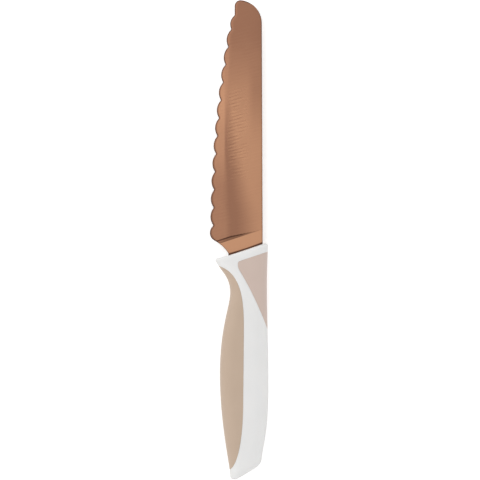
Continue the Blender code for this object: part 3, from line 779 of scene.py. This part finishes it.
def on_handle(spots):
    """Points of the handle's upper skin, unrolled: how far along, how far round from the ridge.

    Past either side the skin carries on round to the underside.
    """
    along = np.clip(spots[:, 0], 0, ALONG[-1])
    left = np.column_stack([np.interp(along, ALONG, LEFT[:, k]) for k in (0, 1)])
    right = np.column_stack([np.interp(along, ALONG, RIGHT[:, k]) for k in (0, 1)])
    half = np.interp(along, ALONG, HALF)
    width = np.linalg.norm(right - left, axis=1)
    reach = np.minimum(SIDE_ROUND, SIDE_SHARE * width)
    flat = width / 2 - reach
    past = np.clip(np.abs(spots[:, 1]) - flat, 0, None)
    turn = math.pi / 2 * (1 - past / QUARTER)
    side = reach * (1 - np.cos(turn) ** POWER)
    height = half * np.sign(turn) * np.abs(np.sin(turn)) ** POWER
    inside = np.abs(spots[:, 1]) <= flat
    from_middle = np.where(inside, np.abs(spots[:, 1]), width / 2 - side)
    share = 0.5 + np.sign(spots[:, 1]) * from_middle / width
    plan = hollowed(left + share[:, None] * (right - left))
    return np.column_stack((plan, np.where(inside, half, height)))


def unrolled(plan):
    """Where points of the plan lie on the unrolled skin, and NaN for those beside the handle."""
    spots = np.full((len(plan), 2), np.nan)
    for i, p in enumerate(flattened(plan)):
        across = RIGHT - LEFT
        offset = p - LEFT
        side = across[:, 0] * offset[:, 1] - across[:, 1] * offset[:, 0]
        k = int(np.argmax(side > 0))
        t = side[k - 1] / (side[k - 1] - side[k]) if k else 0.0
        left = LEFT[k - 1] + t * (LEFT[k] - LEFT[k - 1])
        right = RIGHT[k - 1] + t * (RIGHT[k] - RIGHT[k - 1])
        width = np.linalg.norm(right - left)
        share = np.dot(p - left, right - left) / width ** 2
        from_side = width * min(share, 1 - share)
        if from_side < 0:
            continue
        reach = min(SIDE_ROUND, SIDE_SHARE * width)
        turn = math.acos(max(1 - from_side / reach, 0.0) ** (1 / POWER))
        from_middle = abs(share - 0.5) * width
        if from_side < reach:
            from_middle = width / 2 - reach + QUARTER * (1 - turn / (math.pi / 2))
        along = ALONG[k - 1] + t * (ALONG[k] - ALONG[k - 1])
        spots[i] = along, math.copysign(from_middle, share - 0.5)
    return spots


def side_spot(along, sign):
    """The unrolled place of the handle's belly side (-1) or palm side (1)."""
    left = np.column_stack([np.interp(along, ALONG, LEFT[:, k]) for k in (0, 1)])
    right = np.column_stack([np.interp(along, ALONG, RIGHT[:, k]) for k in (0, 1)])
    width = np.linalg.norm(right - left, axis=1)
    reach = np.minimum(SIDE_ROUND, SIDE_SHARE * width)
    return np.column_stack((along, sign * (width / 2 - reach + QUARTER)))


def skin_normals(spots):
    """Outward directions of the upper skin."""
    small = 0.00004
    steps = []
    for shift in ((small, 0.0), (0.0, small)):
        steps.append(on_handle(spots + shift) - on_handle(spots - np.array(shift)))
    normals = np.cross(steps[0], steps[1])
    return normals / np.linalg.norm(normals, axis=1)[:, None]


def belly_line():
    """The belly grip's parting line in plan, front to rear."""
    start = np.array((-GUARD_REACH, -BELLY_PAD_START + BELLY_PAD_START_RISE))
    full = np.array((BELLY_PAD_REACH, -BELLY_PAD_FULL_FROM))
    rear = np.array((BELLY_PAD_REAR_REACH, -BELLY_PAD_FULL_TO))
    end = np.array((-BUTT_BELLY_REACH - BELLY_PAD_END_OUT, -BELLY_PAD_END))
    leaving, arriving = start + BELLY_PAD_START_PULL, full + (0, BELLY_PAD_FULL_PULL)
    front = bezier(start, leaving, arriving, full, PARTING_STEPS)
    straight = full + np.linspace(0, 1, 400)[1:-1, None] * (rear - full)
    leaving, arriving = rear - (0, BELLY_PAD_REAR_PULL), end + BELLY_PAD_END_PULL
    back = bezier(rear, leaving, arriving, end, PARTING_STEPS)
    return np.vstack((front, straight, back))


def thumb_line():
    """The thumb pad's parting line in plan, from the palm side round its corner to its point."""
    top = -THUMB_PAD_TOP
    tip = np.array((BACK_REACH + THUMB_PAD_END_OUT, -THUMB_PAD_END))
    side_x = -THUMB_PAD_LEFT + THUMB_PAD_CORNER_IN * THUMB_PAD_CORNER
    side_start = np.array((side_x, top - THUMB_PAD_SIDE_DROP))
    top_x = -THUMB_PAD_LEFT + THUMB_PAD_CORNER
    top_start = np.array((top_x, line_front(top_x) - THUMB_PAD_TOP))
    corner_tip = np.array((-THUMB_PAD_LEFT, top)) - THUMB_PAD_CORNER_TIP
    outside = PALM_REACH + BACK_REACH
    far = np.array((outside, line_front(outside) - THUMB_PAD_TOP))
    straight = far + np.linspace(0, 1, PARTING_STEPS)[:, None] * (top_start - far)
    leaving, arriving = side_start + THUMB_PAD_SIDE_PULL, tip + THUMB_PAD_END_PULL
    side = bezier(side_start, leaving, arriving, tip, PARTING_STEPS)
    return np.vstack((straight, corner(top_start, corner_tip, side_start, 200)[1:], side[1:]))


def parting(plan, sign):
    """A parting line on the unrolled skin, ending on the handle's side at both ends."""
    spots = unrolled(plan)
    keep = ~np.isnan(spots[:, 0])
    first, last = np.flatnonzero(keep)[[0, -1]]
    spots = spots[first:last + 1]
    ends = side_spot(spots[[0, -1], 0], sign)
    spots = np.vstack((ends[:1], spots, ends[1:]))
    solid = on_handle(spots)
    at = lengths(solid)
    want = np.linspace(0, at[-1], round(at[-1] / LINE_PITCH) + 1)
    return np.column_stack([np.interp(want, at, spots[:, k]) for k in (0, 1)])


def inset(line, distance):
    """A parting line moved to its left, its ends kept on the handle's side."""
    along = np.gradient(line, axis=0)
    along[0] = along[1]
    along[-1] = along[-2]
    across = np.column_stack((-along[:, 1], along[:, 0]))
    moved = line + distance * across / np.linalg.norm(across, axis=1)[:, None]
    sign = math.copysign(1.0, line[0, 1])
    for k in (0, -1):
        moved[k] = side_spot(moved[[k], 0], sign)[0]
    return moved


def inside_polygon(spots, polygon):
    """Which spots lie inside a closed polygon, and how far each is from its border."""
    a = polygon
    b = np.roll(polygon, -1, axis=0)
    inside = np.zeros(len(spots), bool)
    nearest = np.full(len(spots), np.inf)
    for p, q in zip(a, b):
        crosses = (p[1] > spots[:, 1]) != (q[1] > spots[:, 1])
        if p[1] != q[1]:
            at = p[0] + (spots[:, 1] - p[1]) / (q[1] - p[1]) * (q[0] - p[0])
            inside ^= crosses & (spots[:, 0] < at)
        edge = q - p
        t = np.clip(((spots - p) @ edge) / max(edge @ edge, 1e-18), 0, 1)
        nearest = np.minimum(nearest, np.linalg.norm(spots - (p + t[:, None] * edge), axis=1))
    return inside, nearest


def triangles(spots, count):
    """Triangles between spots, inside the polygon that the first ones of them make."""
    # the solver works best on numbers near one, so it gets millimetres
    found = delaunay_2d_cdt(
        [Vector(s * 1000) for s in spots], [], [list(range(count))], 1, 1e-6, True
    )
    index = [origin[0] if origin else None for origin in found[3]]
    if None in index or len(index) != len(spots):
        raise ValueError("the net over the handle's skin has changed its points")
    faces = [tuple(index[v] for v in face) for face in found[2]]
    middles = np.array([spots[list(face)].mean(axis=0) for face in faces])
    kept, _ = inside_polygon(middles, spots[:count])
    return [face for face, keep in zip(faces, kept) if keep]


def spread(polygon):
    """A fine even net over a region of the unrolled skin: its spots and its triangles."""
    low = polygon.min(axis=0)
    high = polygon.max(axis=0)
    rows = np.arange(low[0], high[0], NET_ROWS)
    net = []
    for i, v in enumerate(rows):
        u = np.arange(low[1] + (i % 2) * SKIN_PITCH / 2, high[1], SKIN_PITCH)
        net.append(np.column_stack((np.full(len(u), v), u)))
    net = np.vstack(net)
    inside, nearest = inside_polygon(net, polygon)
    spots = np.vstack((polygon, net[inside & (nearest > NET_MARGIN)]))
    return spots, triangles(spots, len(polygon))


class Skin:
    """A closed half shell being put together above the middle plane."""

    def __init__(self):
        self.bm = bmesh.new()

    def points(self, spots, depth=0.0):
        """Vertices on the skin or some depth under it."""
        solid = on_handle(spots)
        if depth:
            solid = solid - depth * skin_normals(spots)
        return [self.bm.verts.new(p) for p in solid]

    def net(self, spots, faces, depth=0.0):
        """A net over a region, on the skin or some depth under it."""
        verts = self.points(spots, depth)
        for face in faces:
            self.bm.faces.new([verts[i] for i in face])
        return verts

    def strip(self, rows):
        """Quads between rows of vertices."""
        for row, following in zip(rows, rows[1:]):
            for a, b, c, d in zip(row, row[1:], following[1:], following):
                self.bm.faces.new((a, b, c, d))

    def parting_edge(self, top, line, inner, depth, bottom):
        """The rounded rim from a net's border over the parting line and down its wall."""
        solid = on_handle(line)
        normals = skin_normals(line)
        towards = on_handle(inner) - solid
        towards /= np.linalg.norm(towards, axis=1)[:, None]
        rows = [top]
        centre = solid + PARTING_ROUND * (towards - normals)
        for turn in np.linspace(0, math.pi / 2, 4)[1:]:
            ring = centre + PARTING_ROUND * (math.cos(turn) * normals - math.sin(turn) * towards)
            rows.append([self.bm.verts.new(p) for p in ring])
        wall = solid - depth * normals
        rows.append([self.bm.verts.new(p) for p in wall])
        rows.append(bottom)
        self.strip(rows)

    def finish(self, name):
        """Mirror the half shell underneath and close it."""
        bm = self.bm
        half = bm.verts[:] + bm.edges[:] + bm.faces[:]
        copy = bmesh.ops.duplicate(bm, geom=half)["geom"]
        for v in copy:
            if isinstance(v, bmesh.types.BMVert):
                v.co.z = -v.co.z
        for v in bm.verts:
            if abs(v.co.z) < SKIN_LEVEL:
                v.co.z = 0.0
        bmesh.ops.remove_doubles(bm, verts=bm.verts, dist=SKIN_SEAM)
        bmesh.ops.recalc_face_normals(bm, faces=bm.faces)
        bmesh.ops.translate(bm, verts=bm.verts, vec=SHIFT)
        for face in bm.faces:
            face.smooth = True
        mesh = bpy.data.meshes.new(name)
        bm.to_mesh(mesh)
        bm.free()
        mesh.set_sharp_from_angle(angle=math.radians(50))
        return mesh


def side_run(start, end, sign):
    """Evenly spaced spots on the handle's side between two places along it."""
    steps = max(round(abs(end - start) / SKIN_PITCH), 1)
    return side_spot(np.linspace(start, end, steps + 1), sign)[1:-1]


def make_pad(name, plan, sign, mat, node):
    """A soft grip: the skin inside its parting line, and a flat-bottomed back under it."""
    line = parting(plan, sign)
    # the pad lies to the left of its line on the belly and, run backwards, on the palm too
    if sign > 0:
        line = line[::-1]
    inner = inset(line, -PARTING_ROUND)
    border = np.vstack((inner, side_run(inner[-1, 0], inner[0, 0], sign)))
    spots, faces = spread(border)
    skin = Skin()
    top = skin.net(spots, faces)
    back = skin.net(spots, faces, PAD_THICKNESS)
    count = len(line)
    skin.parting_edge(top[:count], line, inner, PAD_THICKNESS, back[:count])
    finished(name, skin.finish(name), mat, node)
    return line, spots, faces


def make_core(belly, thumb, mat):
    """The white plastic: the skin between the two grips, their beds, and both ends."""
    bed = PAD_THICKNESS + PARTING_GAP
    skin = Skin()
    belly_parting, belly_spots, belly_faces = belly
    thumb_parting, thumb_spots, thumb_faces = thumb
    partings = (belly_parting, thumb_parting)
    edges = [inset(line, PARTING_GAP) for line in partings]
    inners = [inset(line, PARTING_GAP + PARTING_ROUND) for line in partings]

    end = ALONG[-1]
    front = np.column_stack((np.zeros(END_STEPS), np.linspace(-1, 1, END_STEPS)))
    rear = np.column_stack((np.full(END_STEPS, end), np.linspace(1, -1, END_STEPS)))
    front[:, 1] *= side_spot(np.zeros(1), 1)[0, 1]
    rear[:, 1] *= side_spot(np.full(1, end), 1)[0, 1]
    belly_in, thumb_in = inners
    if belly_in[0, 0] > belly_in[-1, 0]:
        belly_in = belly_in[::-1]
    if thumb_in[0, 0] > thumb_in[-1, 0]:
        thumb_in = thumb_in[::-1]
    border = np.vstack((
        front,
        side_run(0.0, thumb_in[0, 0], 1), thumb_in, side_run(thumb_in[-1, 0], end, 1),
        rear,
        side_run(end, belly_in[-1, 0], -1), belly_in[::-1], side_run(belly_in[0, 0], 0.0, -1),
    ))
    spots, faces = spread(border)
    top = skin.net(spots, faces)

    def find(wanted):
        """The border's vertices that lie at the wanted spots."""
        tree = {tuple(np.round(s, 9)): v for s, v in zip(spots[:len(border)], top)}
        return [tree[tuple(np.round(s, 9))] for s in wanted]

    for line, inner, grip_spots, grip_faces in (
        (edges[0], inners[0], belly_spots, belly_faces),
        (edges[1], inners[1], thumb_spots, thumb_faces),
    ):
        floor = skin.net(grip_spots, grip_faces, bed)
        skin.parting_edge(find(inner), line, inner, bed, floor[:len(line)])

    close_front(skin, find(front))
    skin.bm.faces.new(find(rear))
    finished("moulded_handle", skin.finish("moulded_handle"), mat, "handle_core")


def close_front(skin, rim):
    """The slanted front face above the middle plane, with the slot that the blade goes into."""
    along = Vector((math.cos(FRONT_ANGLE), math.sin(FRONT_ANGLE), 0.0))
    back = Vector((0.0, -SLOT_DEPTH, 0.0))
    high = STOCK / 2 + SLOT_GAP
    mouth = []
    for x, z in (
        (SPINE_AT_HANDLE + SLOT_GAP, 0.0), (SPINE_AT_HANDLE + SLOT_GAP, high),
        (-SHOULDER_LEFT - SLOT_GAP, high), (-SHOULDER_LEFT - SLOT_GAP, 0.0),
    ):
        mouth.append(skin.bm.verts.new((x, line_front(x) + hollow_rise(x), z)))
    ring = rim + mouth
    flat = np.array([(v.co.dot(along), v.co.z) for v in ring])
    for face in triangles(flat, len(flat)):
        skin.bm.faces.new([ring[i] for i in face])
    floor = [skin.bm.verts.new(v.co + back) for v in mouth]
    skin.strip([mouth, floor])
    skin.bm.faces.new(floor)


# Finishes


def new_material(name):
    """An empty material, and the shortcut that adds nodes to it."""
    mat = bpy.data.materials.new(name)
    mat.use_nodes = True
    mat.node_tree.nodes.clear()
    return mat, partial(add, mat.node_tree)


def coated_steel():
    """Stainless steel, flat ground with a belt, then vapour coated rose gold.

    The ricasso keeps the light coat. On the ground faces the coat's colour is painted darker
    towards the tip and in a band along the bevel's line above the heel, painted reflection and
    shade, over short slanting strokes of the belt.
    """
    mat, do = new_material("rose gold coated ground stainless steel")
    number, ramp = "ShaderNodeMath", partial(do, "ShaderNodeMapRange")
    place = do("ShaderNodeTexCoord").outputs["Object"]
    x, y, _ = do("ShaderNodeSeparateXYZ", place).outputs
    plunge = do("ShaderNodeAttribute", attribute_name="plunge").outputs["Fac"]
    station = do("ShaderNodeAttribute", attribute_name="station").outputs["Fac"]
    smooth = {"interpolation_type": "SMOOTHSTEP"}

    # how much painted darker reflection lies on the coat, from 0 on the ricasso to 1 at the tip
    to_tip = ramp(y, *PAINTED_SHADE_TO_TIP, **smooth)

    # a band of painted dark reflection runs down the bevel's line; it widens and drifts inwards
    # to the heel
    strength = ramp(y, *PAINTED_BAND_STRENGTH, **smooth)
    middle = ramp(y, *PAINTED_BAND_MIDDLE)
    reach = ramp(y, *PAINTED_BAND_REACH)
    aside = do(number, x, middle, operation="SUBTRACT")
    to_spine = do(number, aside, reach, operation="DIVIDE")
    to_spine = ramp(to_spine, 0.0, 1.0, 1.0, 0.0, **smooth)
    floor = ramp(y, *PAINTED_BAND_FLOOR, **smooth)
    border = ramp(y, *PAINTED_BAND_BORDER)
    to_edge = do(number, aside, border, operation="DIVIDE")
    to_edge = ramp(to_edge, 0.0, 1.0, 0.0, 1.0, **smooth)
    across = do("ShaderNodeMix", to_edge, to_spine, floor, data_type="FLOAT")
    depth = do(number, strength, across, to_tip, operation="MULTIPLY_ADD")

    # painted darker reflection comes sooner on the unground land towards the tip, and on the bevel
    # up to the middle of the blade; past it the bevel is painted lighter
    land = ramp(x, *LAND_PAINTED_SHADE, **smooth)
    sooner = ramp(y, *LAND_SOONER, **smooth)
    later = ramp(y, *LAND_LATER, **smooth)
    land = do(number, land, sooner, operation="MULTIPLY")
    depth = do(number, land, later, depth, operation="MULTIPLY_ADD")
    bevel = ramp(station, *BEVEL_SIDE, **smooth)
    to_middle = ramp(y, *BEVEL_TO_MIDDLE)
    past_middle = ramp(y, *BEVEL_PAST_MIDDLE, **smooth)
    bevel_shade = do(number, to_middle, past_middle, operation="ADD")
    depth = do(number, bevel, bevel_shade, depth, operation="MULTIPLY_ADD")

    # the belt's strokes rise to the spine, clearest in the middle of the blade; real ones are
    # far finer and would not show, so they and the hairlines under them are drawn coarser
    clear = ramp(y, *STROKES_FROM_HEEL, **smooth)
    for along, ends in ((y, STROKES_TO_TIP), (x, STROKES_TO_LAND), (x, STROKES_FROM_BEVEL)):
        clear = do(number, clear, ramp(along, *ends, **smooth), operation="MULTIPLY")
    clear = do(number, clear, STROKE_SHARE, STROKE_LEAST, operation="MULTIPLY_ADD")
    turned = []
    for length, width in (
        (RIPPLE_LENGTH, RIPPLE_WIDTH),
        (STROKE_LENGTH, STROKE_PITCH),
        (HAIRLINE_LENGTH, HAIRLINE_PITCH),
    ):
        spot = do("ShaderNodeMapping", place, vector_type="TEXTURE")
        spot.inputs["Rotation"].default_value = (0.0, 0.0, STROKE_SLANT)
        spot.inputs["Scale"].default_value = (length, width, width)
        turned.append(spot)
    # the ripple's bands lie a third of its width apart, and come and go in patches
    ripple = do("ShaderNodeTexWave", turned[0], 1.0, RIPPLE_WANDER, 1.0, 1.0, bands_direction="Y")
    ripple = do(number, ripple.outputs["Fac"], 0.5, operation="SUBTRACT")
    patch = do("ShaderNodeTexNoise", turned[1], 1.0, 0.0, 0.5)
    patch = ramp(patch.outputs["Fac"], *STROKE_PATCHES)
    hairs = do("ShaderNodeTexNoise", turned[2], 1.0, 2.0, 0.5)
    hairs = ramp(hairs.outputs["Fac"], *HAIRLINES)
    marks = do(number, ripple, patch, operation="MULTIPLY")
    marks = do(number, marks, clear, hairs, operation="MULTIPLY_ADD")
    depth = do(number, depth, marks, operation="ADD")
    ground = ramp(plunge, *GROUND)
    depth = do(number, depth, ground, operation="MULTIPLY")
    cloud = do("ShaderNodeTexNoise", place, 1 / CLOUD_WIDTH, 2.0, 0.5)
    cloud = do(number, cloud.outputs["Fac"], 0.5, operation="SUBTRACT")
    depth = do(number, cloud, CLOUD_SHARE, depth, operation="MULTIPLY_ADD")
    # the tone runs from the light coat, the rose gold's own colour, to a darker colour that carries
    # the painted reflection and shade
    tone = do("ShaderNodeMix", depth, data_type="RGBA")
    tone.inputs["A"].default_value = colour("C19070")
    tone.inputs["B"].default_value = colour("946A54")

    # painted shade and dark reflection: darkest in the wheel's run-out, painted shade on its real
    # slope, then a painted shadow along the slot of the handle and painted dark reflections over the
    # rounded edge and the eased spine
    run_out, its_end = ramp(plunge, *RUN_OUT_SHADE_START), ramp(plunge, *RUN_OUT_SHADE_END)
    painted_shade = do(number, run_out, its_end, operation="ADD")
    painted_shade = do(number, painted_shade, ramp(plunge, *RUN_OUT_SHADE_PAST), operation="MULTIPLY")
    painted_shade = do(number, painted_shade, ramp(x, *RUN_OUT_SHADE_FADING), operation="MULTIPLY")
    # a painted shadow on the blade just ahead of the handle's hollow front face, along its slot
    slanted = do(number, x, -math.tan(FRONT_ANGLE), y, operation="MULTIPLY_ADD")
    from_lowest = do(number, x, SHIFT.x + FRONT_HOLLOW_AT, operation="SUBTRACT")
    rise = do(number, from_lowest, 2.0, operation="POWER")
    slanted = do(number, rise, -0.5 / FRONT_HOLLOW_RADIUS, slanted, operation="MULTIPLY_ADD")
    front = SHIFT.y - SHIFT.x * math.tan(FRONT_ANGLE)
    ahead = do(number, slanted, front, operation="SUBTRACT")
    # painted dark reflection over the blade's rounded edge, weaker on the ricasso
    beyond = ramp(plunge, *EDGE_PAINTED_SHADE_BEYOND)
    edge = do(number, ramp(station, *EDGE_PAINTED_SHADE), beyond, operation="MULTIPLY")
    # painted dark reflection over the eased spine too; the darkest painted shade wins
    for other in (ramp(ahead, *SLOT_PAINTED_SHADOW), edge, ramp(station, *SPINE_PAINTED_SHADE)):
        painted_shade = do(number, painted_shade, other, operation="MAXIMUM")
    # the painted shade's colour is a dark brown
    painted_shade_tone = do("ShaderNodeMix", painted_shade, data_type="RGBA")
    mat.node_tree.links.new(tone.outputs["Result"], painted_shade_tone.inputs["A"])
    painted_shade_tone.inputs["B"].default_value = colour("50352A")

    gloss = ramp(marks, *STROKE_GLOSS)
    dents = do("ShaderNodeBump", 0.25, STROKE_DEPTH, None, marks)
    shader = do("ShaderNodeBsdfPrincipled")
    shader.inputs["Metallic"].default_value = 1.0
    mat.node_tree.links.new(painted_shade_tone.outputs["Result"], shader.inputs["Base Color"])
    mat.node_tree.links.new(gloss.outputs["Result"], shader.inputs["Roughness"])
    mat.node_tree.links.new(dents.outputs["Normal"], shader.inputs["Normal"])
    do("ShaderNodeOutputMaterial", shader)
    return mat


def moulded(name, pale, deep, roughness, grain_width, grain_depth):
    """A moulded plastic: a little uneven in colour, with the grain of the mould on it."""
    mat, do = new_material(name)
    place = do("ShaderNodeTexCoord").outputs["Object"]
    flow = do("ShaderNodeTexNoise", place, 1 / FLOW_WIDTH, 3.0, 0.55).outputs["Fac"]
    grain = do("ShaderNodeTexNoise", place, 1 / grain_width, 2.0, 0.6).outputs["Fac"]
    tone = do("ShaderNodeMix", flow, data_type="RGBA")
    tone.inputs["A"].default_value = colour(pale)
    tone.inputs["B"].default_value = colour(deep)
    gloss = do("ShaderNodeMapRange", grain, 0.3, 0.7, roughness - 0.04, roughness + 0.04)
    dents = do("ShaderNodeBump", 0.5, grain_depth, None, grain)
    shader = do("ShaderNodeBsdfPrincipled")
    mat.node_tree.links.new(tone.outputs["Result"], shader.inputs["Base Color"])
    mat.node_tree.links.new(gloss.outputs["Result"], shader.inputs["Roughness"])
    mat.node_tree.links.new(dents.outputs["Normal"], shader.inputs["Normal"])
    do("ShaderNodeOutputMaterial", shader)
    return mat, shader


def white_plastic():
    """Polypropylene, injection moulded: a satin skin that lets a little light in."""
    mat, shader = moulded(
        "white moulded polypropylene", "E5E4E3", "DEDEDD",
        roughness=0.42, grain_width=0.0007, grain_depth=0.00001,
    )
    shader.inputs["Subsurface Weight"].default_value = 0.10
    shader.inputs["Subsurface Radius"].default_value = (1.0, 0.9, 0.8)
    shader.inputs["Subsurface Scale"].default_value = 0.0015
    return mat


def soft_plastic(name, pale, deep):
    """Thermoplastic elastomer, moulded over the handle: matt, with a fine spark-eroded grain."""
    mat, shader = moulded(
        name, pale, deep, roughness=0.66, grain_width=0.0004, grain_depth=0.00002
    )
    shader.inputs["Sheen Weight"].default_value = 0.35
    shader.inputs["Sheen Roughness"].default_value = 0.4
    return mat


# The studio


def make_camera():
    """A long lens straight above the knife, as far off as the photograph's frame needs."""
    data = bpy.data.cameras.new("camera")
    data.lens = LENS
    data.sensor_width = SENSOR
    ob = bpy.data.objects.new("camera", data)
    bpy.context.collection.objects.link(ob)
    ob.location = (*VIEW_CENTRE, HANDLE_MIDDLE.z + VIEW_HEIGHT * LENS / SENSOR)
    bpy.context.scene.camera = ob


def make_room():
    """A white room: a wide bright ceiling, greyer upper walls and pale lower ones."""
    scene = bpy.context.scene
    scene.view_settings.view_transform = "Standard"
    world = bpy.data.worlds.new("white room")
    scene.world = world
    world.use_nodes = True
    world.node_tree.nodes.clear()
    do = partial(add, world.node_tree)
    direction = do("ShaderNodeTexCoord").outputs["Generated"]
    up = do("ShaderNodeSeparateXYZ", direction).outputs["Z"]
    room = do("ShaderNodeValToRGB", up)
    ramp = room.color_ramp
    for place, _ in ROOM_STOPS[2:]:
        ramp.elements.new(place)
    for element, (place, level) in zip(ramp.elements, ROOM_STOPS):
        element.position = place
        element.color = (level, level, level, 1.0)
    background = do("ShaderNodeBackground", room, ROOM_LEVEL)
    do("ShaderNodeOutputWorld", background)


def make_table():
    """A matt white table. What it shows the eye is topped up to full white."""
    bm = bmesh.new()
    bmesh.ops.create_grid(bm, x_segments=2, y_segments=2, size=TABLE_REACH)
    mesh = bpy.data.meshes.new("table")
    bm.to_mesh(mesh)
    bm.free()
    table = bpy.data.objects.new("table", mesh)
    bpy.context.collection.objects.link(table)
    mat, do = new_material("white table")
    seen = do("ShaderNodeLightPath").outputs["Is Camera Ray"]
    glow = do("ShaderNodeMath", seen, TABLE_GLOW, operation="MULTIPLY")
    matt = do("ShaderNodeBsdfDiffuse", colour("F2F2F1"))
    light = do("ShaderNodeEmission", (1.0, 1.0, 1.0, 1.0), glow)
    both = do("ShaderNodeAddShader", matt, light)
    do("ShaderNodeOutputMaterial", both)
    mesh.materials.append(mat)


def make_lamp(name, place, size, power):
    """A softbox that faces the knife and doesn't show itself."""
    data = bpy.data.lights.new(name, "AREA")
    data.shape = "RECTANGLE"
    data.size, data.size_y = size
    data.energy = power
    ob = bpy.data.objects.new(name, data)
    bpy.context.collection.objects.link(ob)
    ob.location = place
    ob.rotation_euler = (HANDLE_MIDDLE - ob.location).to_track_quat("-Z", "Y").to_euler()
    ob.visible_camera = False


make_camera()
make_room()
make_table()
make_lamp("side softbox", (-0.60, 0.40, 1.10), (0.7, 0.9), 3.4)
make_blade(coated_steel())
# one taupe elastomer in two painted tones: the belly grip's deeper, as if in shade, and the thumb
# pad's paler and pinker, as if in more light
belly_taupe = soft_plastic("shaded copy of the taupe soft elastomer", "BFA995", "B8A28E")
thumb_taupe = soft_plastic("lit copy of the taupe soft elastomer", "C9B6AB", "C4B0A5")
belly_grip = make_pad("belly_grip_skin", belly_line(), -1, belly_taupe, "belly_grip")
thumb_pad = make_pad("thumb_pad_skin", thumb_line(), 1, thumb_taupe, "thumb_pad")
make_core(belly_grip, thumb_pad, white_plastic())
